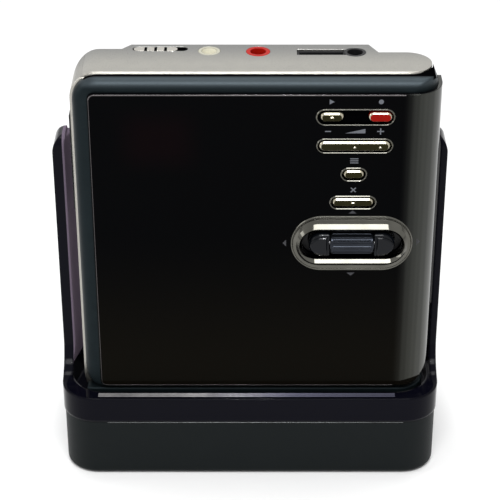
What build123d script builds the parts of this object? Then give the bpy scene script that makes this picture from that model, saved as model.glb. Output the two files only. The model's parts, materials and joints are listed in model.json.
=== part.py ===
from build123d import *
import math
import os

# A clamshell portable disc player that stands upright in its charging dock.
# Millimetres. Origin at the middle of the dock's footprint on the table,
# +X to the right, +Y away from the viewer, +Z up.
# A "depth" is a distance behind the face of the player's glossy front panel.

# The two sizes that set the width of everything: the player's left and right ends
BODY_LEFT = -39.2
LID_RIGHT = 41.9

# Dock: overall form
DOCK_DEPTH = 40.0
DOCK_CORNER = 8.0
FOOT_STAND = 0.3
BASE_TOP = 15.5
BASE_WALL = 2.0
BASE_DECK = 1.6
BASE_FOOT_ROUND = 1.2
BASE_INSET = 0.3
EDGE_BREAK = 0.3

# Dock: the U-shaped cradle on top of the base
POCKET_SOLE = 2.2
LIP_HEIGHT = 6.5
REAR_DECK_HEIGHT = 4.0
WING_WALL = 2.25
WING_SIDE_GAP = 0.35
WING_SETBACK = 14.6
WING_DEPTH = 7.0
WING_SWEEP = 8.0
WING_TOP = 83.9
WING_CORNER = 4.8
WING_HOOK = 0.8
WING_HOOK_DROP = 1.7
WING_BACK_START = 56.0
WING_BACK_REACH = 13.2
SPINE_RELIEF = 0.65
SPINE_RELIEF_DEPTH = 2.2
POCKET_FRONT_GAP = 0.9
POCKET_CORNER = 8.5
GUIDE_GAP = 0.8
GUIDE_FRONT = 9.0

# Dock: bottom plate, feet, screws and the charging electronics
PLATE_THICK = 1.8
PLATE_GAP = 0.15
FOOT_RADIUS = 4.2
FOOT_RECESS = 0.9
FOOT_INSET_X = 9.0
FOOT_INSET_Y = 8.0
DOCK_SCREW_INSET_X = 17.5
DOCK_SCREW_INSET_Y = 7.5
SCREW_SHANK = 1.0
SCREW_HEAD = 1.9
SCREW_HEAD_THICK = 0.8
SCREW_LENGTH = 6.0
SCREW_GAP = 0.02
BOSS_RADIUS = 2.6
VENT_COUNT = 7
VENT_PITCH = 4.0
VENT_WIDTH = 1.4
VENT_LENGTH = 12.0
DOCK_BOARD_Z = 5.6
DOCK_BOARD_LEFT = -20.0
DOCK_BOARD_RIGHT = 22.0
DOCK_BOARD_FRONT = -9.0
DOCK_BOARD_BACK_GAP = 1.2
BOARD_THICK = 1.0
BOARD_POST_X = -17.0
BOARD_POST_HALF = 2.0
CHOKE_RADIUS = 3.2
CHOKE_HEIGHT = 4.0
CAPACITOR_RADIUS = 2.2
CAPACITOR_HEIGHT = 4.5
COIL_SIZE = 6.0
COIL_HEIGHT = 2.2
CHIP_SIZE = 4.0
CHIP_HEIGHT = 1.2
POWER_JACK_X = 16.0
POWER_JACK_Z = 9.6
POWER_JACK_BORE = 2.75
POWER_JACK_PIN = 0.8
POWER_JACK_WALL = 0.9
POWER_JACK_HALF = 4.5
POWER_JACK_LENGTH = 11.0
POWER_JACK_RISE = 4.0
CONTACT_PITCH = 4.5
CONTACT_COUNT = 4
CONTACT_DEPTH = 13.5
CONTACT_RADIUS = 0.8
CONTACT_HALF = 2.0
CARRIER_DEPTH = 4.0
CARRIER_LEDGE = 1.5
PAD_HALF = 1.25
PAD_SEAT = 0.4
WINDOW_GAP = 0.2

# Player: overall form
FACE_SETBACK = 3.8
SEAT_GAP = 0.05
PLAYER_HEIGHT = 84.0
BODY_FRONT = 4.3
BODY_BACK = 19.4
LEFT_END_DEPTH = 17.0
SHELL_WALL = 1.1
CAP_SEAM = 0.02
SHELL_CORNER = 6.0
SHELL_SIDE_ROUND = 5.0
BULGE_LEFT_INSET = 12.8
BULGE_HINGE_GAP = 7.9
BULGE_SLOPE = 2.0
HINGE_INSET = 7.6
BARREL_RADIUS = 5.4
LID_GAP = 0.3

# Lid and its glossy wrap-round panel
LID_LEFT_INSET = 0.6
LID_BOTTOM_GAP = 0.3
LID_TOP_DROP = 0.3
PANEL_THICK = 0.9
PANEL_SEAT = 0.02
PANEL_LEFT_INSET = 3.5
PANEL_TOP_DROP = 3.25
PANEL_BOTTOM_RISE = 0.8
PANEL_CORNER = 1.4
SPINE_RADIUS = 7.0
SPINE_TAIL = 0.6
SPINE_FOOT_ROUND = 6.5
LID_EDGE_ROUND = 2.4
LID_WALL = 1.0
LID_RIM = 1.3
LINER_THICK = 0.4
LINER_INSET = 0.1
LID_SCREW_SHANK = 0.6
LID_SCREW_HEAD = 1.1
SPINE_TOP_RUN = 1.1
SPINE_TOP_DROP = 2.8
LID_BOSS = 1.4
LID_SCREW_LEFT_INSET = 5.0
LID_SCREW_HINGE_GAP = 4.8
LID_SCREW_END_GAP = 3.6
LID_SCREW_SINK = 0.2
LINER_RIB_COUNT = 5
LINER_RIB_PITCH = 8.0
LINER_RIB_INSET = 14.6
LINER_RIB_LENGTH = 24.0
LINER_RIB_HEIGHT = 0.6

# Hinge pin and the knuckles on it
PIN_RADIUS = 0.8
RUNNING_GAP = 0.05
KNUCKLE_RADIUS = 2.1
KNUCKLE_THICK = 1.8
KNUCKLE_GAP = 0.2
KNUCKLE_ANGLE = -50.0
TOP_KNUCKLE_DROP = 4.4
LOW_KNUCKLE_RISE = 11.1
HOLDER_EAR_THICK = 0.8
HOLDER_EAR_HALF = 1.2
HOLDER_EAR_STEP = 2.1
HINGE_BOSS = 1.9
HINGE_WEB_HALF = 0.9
MOUTH_END = 0.8

# Disc and the holder that lifts it out with the lid
DISC_CASE_HEIGHT = 72.0
DISC_CASE_THICK = 5.0
DISC_GAP = 0.1
DISC_SIDE_GAP = 0.3
HOLDER_SHEET = 0.4
HOLDER_LEFT_INSET = 2.3
HOLDER_HINGE_GAP = 2.7
HOLDER_FRONT = 4.6
HOLDER_LIP = 6.0
HOLDER_WINDOW_MARGIN = 3.0
SPRING_LENGTH = 20.0
SPRING_WIDTH = 2.4
SPRING_THICK = 0.08

# Drive mechanism behind the disc
DECK_DEPTH = 11.2
DECK_THICK = 0.8
DECK_EDGE_GAP = 0.1
DECK_CORNER = 4.6
DECK_SLOT_HALF = 4.5
DECK_SLOT_INSET = 2.0
SPINDLE_OFFSET = 0.35
MOTOR_RADIUS = 7.5
MOTOR_THICK = 3.2
TURNTABLE_RADIUS = 5.0
TURNTABLE_THICK = 0.6
HUB_RADIUS = 2.2
HUB_REACH = 1.3
SPINDLE_SHAFT = 0.6
SLED_WIDTH = 19.2
SLED_HEIGHT = 11.0
SLED_THICK = 3.0
SLED_START = 17.5
SLED_TRAVEL = 14.0
LENS_RADIUS = 2.2
ROD_RADIUS = 0.75
ROD_DEPTH = 14.2
ROD_SPREAD = 8.0
SCREW_OFFSET = 14.4
LEAD_RADIUS = 0.9
SLED_MOTOR_RADIUS = 2.15
SLED_MOTOR_LENGTH = 9.0
WINDOW_MARGIN = 1.0
POST_RADIUS = 2.0
CASE_SCREW_SHANK = 0.7
CASE_SCREW_HEAD = 1.3
CASE_SCREW_HEAD_THICK = 0.5
CASE_SCREW_LENGTH = 2.6
LEFT_POST_INSET = 7.2
RIGHT_POST_INSET = 4.9
POST_END_GAP = 7.0

# Boards, battery and its door
BOARD_LEFT_INSET = 14.2
BOARD_BAY_GAP = 1.8
BOARD_DEPTH = 16.6
MAIN_CHIP = 9.0
CHIP_SEAT = 0.8
BATTERY_SLED_GAP = 1.2
BATTERY_HINGE_GAP = 9.5
BATTERY_LENGTH = 67.0
BATTERY_THICK = 6.0
BATTERY_FIT = 0.25
BAY_WALL = 0.6
DOOR_THICK = 1.0
DOOR_GAP = 0.15
DOOR_RISE = 2.55
DOOR_PIN = 0.35
DOOR_PIN_LENGTH = 0.7

# Sockets and sliders on the top and the left side
JACK_BORE = 1.75
JACK_BODY = 5.6
JACK_BACK = 2.0
JACK_LENGTH = 11.0
LINE_IN_SHIFT = 0.05
LINE_IN_DEPTH = 15.9
LINE_IN_RING = 2.42
MIC_REMOTE_GAP = 8.6
MIC_DEPTH = 15.6
MIC_RING = 2.65
PHONE_HINGE_GAP = 11.1
PHONE_DEPTH = 15.2
PHONE_RING = 2.4
REMOTE_PHONE_GAP = 1.8
REMOTE_WIDTH = 11.0
REMOTE_HALF = 1.45
REMOTE_LENGTH = 8.0
RING_GAP = 0.05
HOLD_BULGE_INSET = 6.5
HOLD_DEPTH = 17.0
HOLD_SLOT_LENGTH = 12.3
HOLD_SLOT_WIDTH = 2.4
HOLD_KNOB_LENGTH = 9.7
HOLD_TRAVEL = 2.0
HOLD_RECESS = 0.7
HOLD_GROOVE = 0.35
SLIDER_GAP = 0.1
OPEN_LOW = 48.5
OPEN_LENGTH = 24.5
OPEN_DEPTH = 9.3
OPEN_HALF = 2.2
OPEN_PROUD = 0.7
OPEN_RECESS = 0.6
OPEN_TRAVEL = 3.0
OPEN_RIB_PITCH = 1.1
OPEN_RIB_COUNT = 12
OPEN_RIB_DEPTH = 0.3

# Controls on the front: places are heights above the table
KEY_HINGE_GAP = 11.5
PAIR_Z = 93.1
PAIR_LENGTH = 17.2
PAIR_WIDTH = 4.0
PLAY_OFFSET = 5.1
RECORD_OFFSET = 5.4
PAIR_KEY_LENGTH = 5.1
PAIR_KEY_WIDTH = 2.3
VOLUME_Z = 86.2
VOLUME_LENGTH = 15.5
VOLUME_WIDTH = 2.4
MENU_Z = 79.2
MENU_LENGTH = 4.6
MENU_WIDTH = 2.2
CANCEL_Z = 72.2
CANCEL_LENGTH = 9.2
CANCEL_WIDTH = 2.2
KEY_MARGIN = 0.65
KEY_GAP = 0.15
KEY_PROUD = 0.35
KEY_EDGE = 0.3
KEY_FLANGE = 0.5
KEY_FLANGE_THICK = 0.3
KEY_TRAVEL = 0.35
KEY_BACK_GAP = 0.05
ROCKER_SINK = 0.2
ROCKER_PIVOT = 0.3
BEZEL_WALL = 0.3
BEZEL_PROUD = 0.2
DOME_RADIUS = 0.9
DOME_HEIGHT = 0.1

# Jog control: a fluted roller between two end blocks in a chrome dish
JOG_Z = 61.9
JOG_RING_LENGTH = 27.4
JOG_RING_WIDTH = 14.0
JOG_CREST = 0.9
JOG_SLOT_LENGTH = 22.6
JOG_SLOT_WIDTH = 6.9
JOG_BLOCK_LENGTH = 19.3
JOG_BLOCK_WIDTH = 6.1
JOG_BLOCK_PROUD = 1.5
JOG_BLOCK_ROUND = 1.2
ROLLER_LENGTH = 9.8
ROLLER_RADIUS = 2.5
ROLLER_DEPTH = 0.2
ROLLER_FLUTES = 12
ROLLER_GAP = 0.15
JOG_AXLE = 0.5
JOG_SHIFT = 1.0
JOG_PRESS = 0.3
JOG_PLATE_THICK = 0.8
JOG_PLATE_LENGTH = 23.0
JOG_PLATE_WIDTH = 9.0
JOG_BACK_THICK = 0.25

# Display and key board inside the lid
DISPLAY_INSET = 3.6
DISPLAY_KEY_GAP = 15.8
DISPLAY_LOW = 66.0
DISPLAY_HIGH = 76.0
DISPLAY_THICK = 1.2
KEY_BOARD_THICK = 0.4

# Derived places shared by several pieces
WING_INNER = LID_RIGHT + WING_SIDE_GAP
DOCK_WIDTH = 2 * (WING_INNER + WING_WALL)
HINGE_X = LID_RIGHT - HINGE_INSET
LID_LEFT = BODY_LEFT + LID_LEFT_INSET
PANEL_LEFT = LID_LEFT + PANEL_LEFT_INSET
BULGE_LEFT = BODY_LEFT + BULGE_LEFT_INSET
BULGE_RIGHT = HINGE_X - BULGE_HINGE_GAP
HOLDER_LEFT = BODY_LEFT + HOLDER_LEFT_INSET
HOLDER_RIGHT = HINGE_X - HOLDER_HINGE_GAP
SPINDLE_X = (HOLDER_LEFT + HOLDER_RIGHT) / 2 - SPINDLE_OFFSET
LEFT_POST_X = BODY_LEFT + LEFT_POST_INSET
RIGHT_POST_X = HINGE_X - RIGHT_POST_INSET
BATTERY_LEFT = SPINDLE_X + SLED_WIDTH / 2 + BATTERY_SLED_GAP
BATTERY_WIDTH = HINGE_X - BATTERY_HINGE_GAP - BATTERY_LEFT
BOARD_LEFT = BODY_LEFT + BOARD_LEFT_INSET
BOARD_RIGHT = BATTERY_LEFT - BOARD_BAY_GAP
PHONE_X = HINGE_X - PHONE_HINGE_GAP
REMOTE_RIGHT = PHONE_X - REMOTE_PHONE_GAP
REMOTE_LEFT = REMOTE_RIGHT - REMOTE_WIDTH
MIC_X = REMOTE_LEFT - MIC_REMOTE_GAP
HOLD_X = BULGE_LEFT + HOLD_BULGE_INSET
LINE_IN_X = (HOLD_X + MIC_X) / 2 + LINE_IN_SHIFT
KEY_X = HINGE_X - KEY_HINGE_GAP
PLAY_X = KEY_X - PLAY_OFFSET
RECORD_X = KEY_X + RECORD_OFFSET
DISPLAY_LEFT = PANEL_LEFT + DISPLAY_INSET
DISPLAY_RIGHT = KEY_X - DISPLAY_KEY_GAP
FACE_Y = -DOCK_DEPTH / 2 + FACE_SETBACK
POCKET_FLOOR = BASE_TOP + POCKET_SOLE
LIP_TOP = BASE_TOP + LIP_HEIGHT
REAR_DECK = BASE_TOP + REAR_DECK_HEIGHT
PLAYER_BASE = POCKET_FLOOR + SEAT_GAP
PLAYER_TOP = PLAYER_BASE + PLAYER_HEIGHT
PLAYER_MID = (PLAYER_BASE + PLAYER_TOP) / 2
POCKET_BACK_DEPTH = BODY_BACK + POCKET_FRONT_GAP
HINGE_DEPTH = BODY_FRONT + BARREL_RADIUS
LID_BACK = BODY_FRONT - LID_GAP
LID_LOW = LIP_TOP + LID_BOTTOM_GAP
LID_TOP = PLAYER_TOP - LID_TOP_DROP
PANEL_LOW = LID_LOW + PANEL_BOTTOM_RISE
PANEL_TOP = PLAYER_TOP - PANEL_TOP_DROP
SPINE_X = LID_RIGHT - SPINE_RADIUS
LID_INNER_RADIUS = BARREL_RADIUS + LID_GAP
SPINE_END = HINGE_DEPTH + SPINE_TAIL
LID_SKIN = PANEL_THICK + PANEL_SEAT
LID_CAVITY = LID_SKIN + LID_WALL
LINER_FRONT = LID_BACK - LINER_THICK - LINER_INSET
INSIDE_LOW = PLAYER_BASE + SHELL_WALL
INSIDE_TOP = PLAYER_TOP - SHELL_WALL
INSIDE_LEFT = BODY_LEFT + SHELL_WALL
INSIDE_BACK = BODY_BACK - SHELL_WALL
HOLDER_BACK = HOLDER_FRONT + 2 * HOLDER_SHEET + 2 * DISC_GAP + DISC_CASE_THICK
HOLDER_LOW = PLAYER_MID - DISC_CASE_HEIGHT / 2 - DISC_SIDE_GAP - HOLDER_SHEET
HOLDER_TOP = PLAYER_MID + DISC_CASE_HEIGHT / 2 + DISC_SIDE_GAP + HOLDER_SHEET
DECK_BACK = DECK_DEPTH + DECK_THICK
DOOR_LOW = REAR_DECK + 0.8
BATTERY_LOW = DOOR_LOW + 0.9
BATTERY_TOP = BATTERY_LOW + BATTERY_LENGTH
DOOR_TOP = BATTERY_TOP + 0.9
DOOR_PIVOT_X = BATTERY_LEFT + BATTERY_WIDTH - 0.2
DOOR_LEFT = BATTERY_LEFT - 0.2
DOOR_DEPTH = BODY_BACK - DOOR_THICK / 2
TOP_KNUCKLE = PLAYER_TOP - TOP_KNUCKLE_DROP
LOW_KNUCKLE = PLAYER_BASE + LOW_KNUCKLE_RISE
KEY_BACK = LID_CAVITY + KEY_BACK_GAP
KEY_BOARD_FRONT = KEY_BACK + KEY_FLANGE_THICK + KEY_TRAVEL + DOME_HEIGHT


def deep(depth):
    """Y of a point that lies so far behind the front panel's face."""
    return FACE_Y + depth


def block(x0, x1, y0, y1, z0, z1):
    return Pos((x0 + x1) / 2, (y0 + y1) / 2, (z0 + z1) / 2) * Box(x1 - x0, y1 - y0, z1 - z0)


def rod_x(x0, x1, y, z, radius):
    return Pos((x0 + x1) / 2, y, z) * Rot(0, 90, 0) * Cylinder(radius, x1 - x0)


def rod_y(x, y0, y1, z, radius):
    return Pos(x, (y0 + y1) / 2, z) * Rot(90, 0, 0) * Cylinder(radius, y1 - y0)


def rod_z(x, y, z0, z1, radius):
    return Pos(x, y, (z0 + z1) / 2) * Cylinder(radius, z1 - z0)


def plan_prism(sketch, z0, z1):
    """A shape drawn in plan, from one height to another."""
    return extrude(Plane.XY.offset(z0) * sketch, z1 - z0)


def front_plane(y):
    return Plane(origin=(0, y, 0), x_dir=(1, 0, 0), z_dir=(0, -1, 0))


def front_prism(sketch, y0, y1):
    """A shape drawn in front view (X, Z), from one Y to another."""
    return extrude(front_plane(y1) * sketch, y1 - y0)


def side_prism(sketch, x0, x1):
    """A shape drawn in side view (Y, Z), from one X to another."""
    plane = Plane(origin=(x0, 0, 0), x_dir=(0, 1, 0), z_dir=(1, 0, 0))
    return extrude(plane * sketch, x1 - x0)


def pill(x, z, length, width):
    """A stadium outline in front view."""
    return Pos(x, z) * SlotOverall(length, width)


def dock_outline(inset=0.0):
    return RectangleRounded(DOCK_WIDTH - 2 * inset, DOCK_DEPTH - 2 * inset, DOCK_CORNER - inset)


def four_places(inset_x, inset_y):
    """Places at the four corners of the dock's plan, so far in from its sides."""
    x, y = DOCK_WIDTH / 2 - inset_x, DOCK_DEPTH / 2 - inset_y
    return [(-x, -y), (-x, y), (x, -y), (x, y)]


def dock_screw_places():
    return four_places(DOCK_SCREW_INSET_X, DOCK_SCREW_INSET_Y)


def foot_places():
    return four_places(FOOT_INSET_X, FOOT_INSET_Y)


def dock_board_span():
    return DOCK_BOARD_FRONT, DOCK_DEPTH / 2 - BASE_WALL - DOCK_BOARD_BACK_GAP


def board_posts():
    front, back = dock_board_span()
    return [(BOARD_POST_X, back - 3 * BOARD_POST_HALF), (BOARD_POST_X, front + 1.5 * BOARD_POST_HALF)]


def contact_places():
    span = (CONTACT_COUNT - 1) * CONTACT_PITCH
    return [-span / 2 + i * CONTACT_PITCH for i in range(CONTACT_COUNT)]


def contact_window(gap):
    half = (CONTACT_COUNT * CONTACT_PITCH) / 2 + gap
    reach = CONTACT_HALF + gap
    return half, deep(CONTACT_DEPTH) - reach, deep(CONTACT_DEPTH) + reach


def make_dock_base():
    """Satin lower shell: an upturned tray with bosses for the bottom plate's screws."""
    ceiling = BASE_TOP - BASE_DECK
    shell = plan_prism(dock_outline(BASE_INSET), FOOT_STAND, BASE_TOP)
    shell = fillet(shell.edges().group_by(Axis.Z)[0], BASE_FOOT_ROUND)
    shell = chamfer(shell.edges().group_by(Axis.Z)[-1], EDGE_BREAK)
    shell -= plan_prism(dock_outline(BASE_WALL), 0, ceiling)
    plate_top = FOOT_STAND + PLATE_THICK
    post = BOARD_POST_HALF
    for x, y in board_posts():
        shell += block(x - post, x + post, y - post, y + post, DOCK_BOARD_Z + BOARD_THICK, ceiling)
    for x, y in dock_screw_places():
        shell += rod_z(x, y, plate_top, ceiling, BOSS_RADIUS)
        shell -= rod_z(x, y, plate_top, plate_top + SCREW_LENGTH, SCREW_SHANK + SCREW_GAP)
    half, y0, y1 = contact_window(WINDOW_GAP)
    shell -= block(-half, half, y0, y1, ceiling - 1, BASE_TOP + 1)
    back = DOCK_DEPTH / 2
    shell -= rod_y(POWER_JACK_X, back - 2 * BASE_WALL, back + 1, POWER_JACK_Z, POWER_JACK_BORE + 1.0)
    return shell


def make_dock_bottom_plate():
    """Screwed plate with foot recesses, countersunk holes and a row of vents."""
    z0, z1 = FOOT_STAND, FOOT_STAND + PLATE_THICK
    plate = plan_prism(dock_outline(BASE_WALL + PLATE_GAP), z0, z1)
    for x, y in foot_places():
        plate -= rod_z(x, y, z0 - 1, z0 + FOOT_RECESS, FOOT_RADIUS + RING_GAP)
    for x, y in dock_screw_places():
        plate -= rod_z(x, y, z0 - 1, z1 + 1, SCREW_SHANK + SCREW_GAP)
        plate -= rod_z(x, y, z0 - 1, z0 + SCREW_HEAD_THICK, SCREW_HEAD + SCREW_GAP)
    for i in range(VENT_COUNT):
        x = (i - (VENT_COUNT - 1) / 2) * VENT_PITCH
        half, reach = VENT_WIDTH / 2, VENT_LENGTH / 2
        plate -= block(x - half, x + half, -reach, reach, z0 - 1, z1 + 1)
    return plate


def make_dock_feet():
    feet = Part()
    for x, y in foot_places():
        feet += rod_z(x, y, 0, FOOT_STAND + FOOT_RECESS, FOOT_RADIUS)
    return feet


def make_dock_screws():
    screws = Part()
    z0 = FOOT_STAND
    for x, y in dock_screw_places():
        head = rod_z(x, y, z0, z0 + SCREW_HEAD_THICK, SCREW_HEAD)
        shank = rod_z(x, y, z0, z0 + PLATE_THICK + SCREW_LENGTH - 0.3, SCREW_SHANK)
        screws += head + shank
    return screws


def wing_side_profile():
    """The cradle in side view: lip, concave sweep up to the wing, leaning back edge."""
    front = -DOCK_DEPTH / 2
    back = DOCK_DEPTH / 2
    rim = front + WING_SETBACK
    wing_back = rim + WING_DEPTH
    round_over = WING_DEPTH / 2
    sweep = CenterArc((rim - WING_SWEEP, LIP_TOP + WING_SWEEP), WING_SWEEP, -90, 90)
    heel = (wing_back + WING_BACK_REACH, REAR_DECK)
    lean = TangentArc((wing_back, WING_BACK_START), heel, tangent=(0, -1))
    return make_face([
        Line((front, BASE_TOP), (front, LIP_TOP)),
        Line((front, LIP_TOP), (rim - WING_SWEEP, LIP_TOP)),
        sweep,
        Line((rim, LIP_TOP + WING_SWEEP), (rim, WING_TOP - round_over)),
        CenterArc((rim + round_over, WING_TOP - round_over), round_over, 180, -180),
        Line((wing_back, WING_TOP - round_over), (wing_back, WING_BACK_START)),
        lean,
        Line(heel, (back, REAR_DECK)),
        Line((back, REAR_DECK), (back, BASE_TOP)),
        Line((back, BASE_TOP), (front, BASE_TOP)),
    ])


def make_wing(side, hook):
    """One wing wall with a round outer top corner; a hook makes the top curl inwards."""
    outer = DOCK_WIDTH / 2
    inner = WING_INNER - hook
    middle = (outer + inner) / 2
    wall = Pos(middle, WING_TOP / 2) * Rectangle(outer - inner, WING_TOP)
    below = WING_TOP - WING_HOOK_DROP
    wall -= Pos(WING_INNER - 2, below / 2) * RectangleRounded(4, below, WING_HOOK)
    corner = Pos(outer - WING_CORNER / 2, WING_TOP - WING_CORNER / 2) * Rectangle(WING_CORNER, WING_CORNER)
    wall -= corner - Pos(outer - WING_CORNER, WING_TOP - WING_CORNER) * Circle(WING_CORNER)
    wing = front_prism(wall, -DOCK_DEPTH, DOCK_DEPTH)
    return wing if side > 0 else mirror(wing, Plane.YZ)


def make_side_guide():
    """Wedge inside the left wing that closes in on the player's side towards the back."""
    inner = -WING_INNER
    near = BODY_LEFT - GUIDE_GAP
    rear = -DOCK_DEPTH / 2 + WING_SETBACK + WING_DEPTH
    wedge = Polygon(
        (inner - WING_WALL / 2, deep(GUIDE_FRONT)), (inner, deep(GUIDE_FRONT)), (near, rear),
        (near, DOCK_DEPTH / 2), (inner - WING_WALL / 2, DOCK_DEPTH / 2), align=None)
    guide = plan_prism(wedge, POCKET_FLOOR - POCKET_SOLE / 2, WING_TOP - WING_HOOK_DROP)
    guide &= plan_prism(dock_outline(), BASE_TOP, WING_TOP)
    return guide & side_prism(wing_side_profile(), -DOCK_WIDTH, 0)


def make_dock_cradle():
    """Glossy U: pocket for the player's foot, low front lip and two side wings."""
    pocket_y0 = deep(-POCKET_FRONT_GAP)
    pocket_y1 = deep(POCKET_BACK_DEPTH)
    reach = DOCK_DEPTH / 2
    walls = block(-DOCK_WIDTH, DOCK_WIDTH, -DOCK_DEPTH, DOCK_DEPTH, BASE_TOP, LIP_TOP)
    walls += make_wing(1, 0.0) + make_wing(-1, WING_HOOK)
    cradle = plan_prism(dock_outline(), BASE_TOP, WING_TOP + 1)
    cradle &= side_prism(wing_side_profile(), -DOCK_WIDTH, DOCK_WIDTH)
    cradle &= walls
    rim_y = -reach + WING_SETBACK
    pocket = Pos(0, (pocket_y0 + pocket_y1) / 2) * RectangleRounded(
        2 * WING_INNER, pocket_y1 - pocket_y0, POCKET_CORNER)
    cradle -= plan_prism(pocket, POCKET_FLOOR, LIP_TOP + 1)
    cradle -= block(-WING_INNER, WING_INNER, pocket_y1 - POCKET_CORNER, reach + 1, REAR_DECK, LIP_TOP + 1)
    cradle += make_side_guide()
    relief = Polygon(
        (WING_INNER - 1, rim_y - WING_SWEEP), (WING_INNER + SPINE_RELIEF, rim_y - WING_SWEEP),
        (WING_INNER + SPINE_RELIEF, rim_y), (WING_INNER, rim_y + SPINE_RELIEF_DEPTH),
        (WING_INNER - 1, rim_y + SPINE_RELIEF_DEPTH), align=None)
    cradle -= plan_prism(relief, LIP_TOP, WING_TOP + 1)
    half, y0, y1 = contact_window(WINDOW_GAP)
    cradle -= block(-half, half, y0, y1, BASE_TOP - 1, POCKET_FLOOR + 1)
    return cradle


def make_dock_contact_block():
    """Black carrier that fills the window in the pocket floor and holds the spring pins."""
    half, y0, y1 = contact_window(0.0)
    low = BASE_TOP - BASE_DECK - CARRIER_DEPTH
    ledge = CARRIER_LEDGE
    carrier = block(-half, half, y0, y1, low, POCKET_FLOOR - WINDOW_GAP)
    carrier += block(-half - ledge, half + ledge, y0 - ledge, y1 + ledge, low, BASE_TOP - BASE_DECK)
    for x in contact_places():
        carrier -= rod_z(x, deep(CONTACT_DEPTH), low - 1, POCKET_FLOOR + 1, CONTACT_RADIUS + SCREW_GAP)
    return carrier


def make_dock_contact_pins():
    pins = Part()
    low = DOCK_BOARD_Z + BOARD_THICK
    for x in contact_places():
        pin = rod_z(x, deep(CONTACT_DEPTH), low, POCKET_FLOOR + SEAT_GAP * 0.4, CONTACT_RADIUS)
        pins += chamfer(pin.edges().group_by(Axis.Z)[-1], CONTACT_RADIUS * 0.5)
    return pins


def make_dock_circuit_board():
    """Charger board hung under the contacts, with a choke, capacitors and a controller chip."""
    z0, z1 = DOCK_BOARD_Z, DOCK_BOARD_Z + BOARD_THICK
    front, back = dock_board_span()
    row = back - 2 * CHOKE_RADIUS - CAPACITOR_RADIUS
    board = block(DOCK_BOARD_LEFT, DOCK_BOARD_RIGHT, front, back, z0, z1)
    x = BOARD_POST_X + COIL_SIZE + BOARD_POST_HALF
    half = COIL_SIZE / 2
    board += block(x - half, x + half, row - half, row + half, z1, z1 + COIL_HEIGHT)
    x += COIL_SIZE / 2 + 2 * CHOKE_RADIUS
    board += rod_z(x, row, z1, z1 + CHOKE_HEIGHT, CHOKE_RADIUS)
    x += CHOKE_RADIUS + 1.5 * CAPACITOR_RADIUS
    board += rod_z(x, row, z1, z1 + CAPACITOR_HEIGHT, CAPACITOR_RADIUS)
    x, y = DOCK_BOARD_RIGHT - 2 * CHIP_SIZE, front + CHIP_SIZE
    half = CHIP_SIZE / 2
    board += block(x - half, x + half, y - half, y + half, z1, z1 + CHIP_HEIGHT)
    return board


def make_dock_power_jack():
    """Round low-voltage power socket with its centre pin, at the back of the base."""
    back = DOCK_DEPTH / 2 - BASE_INSET - WINDOW_GAP / 2
    front = DOCK_DEPTH / 2 - BASE_WALL - POWER_JACK_LENGTH
    inner_back = DOCK_DEPTH / 2 - BASE_WALL - SEAT_GAP
    x, z = POWER_JACK_X, POWER_JACK_Z
    low = DOCK_BOARD_Z + BOARD_THICK
    jack = block(x - POWER_JACK_HALF, x + POWER_JACK_HALF, front, inner_back, low, z + POWER_JACK_RISE)
    jack += rod_y(x, inner_back - BASE_WALL / 2, back, z, POWER_JACK_BORE + POWER_JACK_WALL)
    jack -= rod_y(x, front + BASE_WALL, back + 1, z, POWER_JACK_BORE)
    jack += rod_y(x, front + BASE_WALL / 2, back - BASE_WALL / 2, z, POWER_JACK_PIN)
    return jack


def body_outline():
    """The silver body in plan: round hinge barrel, stepped bulge and soft left corner."""
    front, back = deep(BODY_FRONT), deep(BODY_BACK)
    right_end = deep(HINGE_DEPTH + BARREL_RADIUS)
    left_end = deep(LEFT_END_DEPTH)
    corner = BODY_LEFT + SHELL_SIDE_ROUND
    barrel = CenterArc((HINGE_X, deep(HINGE_DEPTH)), BARREL_RADIUS, -90, 180)
    return make_face([
        Line((BODY_LEFT, front), (HINGE_X, front)),
        barrel,
        Line((HINGE_X, right_end), (BULGE_RIGHT + BULGE_SLOPE, right_end)),
        Line((BULGE_RIGHT + BULGE_SLOPE, right_end), (BULGE_RIGHT, back)),
        Line((BULGE_RIGHT, back), (BULGE_LEFT, back)),
        Line((BULGE_LEFT, back), (BULGE_LEFT - BULGE_SLOPE, left_end)),
        Line((BULGE_LEFT - BULGE_SLOPE, left_end), (corner, left_end)),
        CenterArc((corner, left_end - SHELL_SIDE_ROUND), SHELL_SIDE_ROUND, 90, 90),
        Line((BODY_LEFT, left_end - SHELL_SIDE_ROUND), (BODY_LEFT, front)),
    ])


def left_rounded(left, right, low, high, radius):
    """A front-view rectangle whose two left corners are round."""
    middle = (low + high) / 2
    face = Pos((left + right) / 2, middle) * Rectangle(right - left, high - low)
    for z, side in ((low, 1), (high, -1)):
        cx, cz = left + radius, z + side * radius
        corner = Pos(left + radius / 2, z + side * radius / 2) * Rectangle(radius, radius)
        face -= corner - Pos(cx, cz) * Circle(radius)
    return face


def hinge_slots():
    """Room in the barrel for the lid's knuckles and the holder's ears at both ends."""
    cx, cy = HINGE_X, deep(HINGE_DEPTH)
    slots = Part()
    for z in (TOP_KNUCKLE, LOW_KNUCKLE):
        z0, z1 = z - KNUCKLE_GAP, z + KNUCKLE_THICK + KNUCKLE_GAP
        slots += block(cx - KNUCKLE_RADIUS - 0.4, cx + 6, cy - 6, cy + KNUCKLE_RADIUS + 0.3, z0, z1)
    for z in holder_ear_heights():
        z0, z1 = z - KNUCKLE_GAP, z + HOLDER_EAR_THICK + KNUCKLE_GAP
        slots += block(cx - 4.5, cx + HINGE_BOSS + 0.1, cy - 2.2, cy + HINGE_BOSS + 0.1, z0, z1)
    return slots


def holder_ear_heights():
    return (TOP_KNUCKLE - HOLDER_EAR_STEP - HOLDER_EAR_THICK,
            LOW_KNUCKLE + KNUCKLE_THICK + HOLDER_EAR_STEP)


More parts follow.
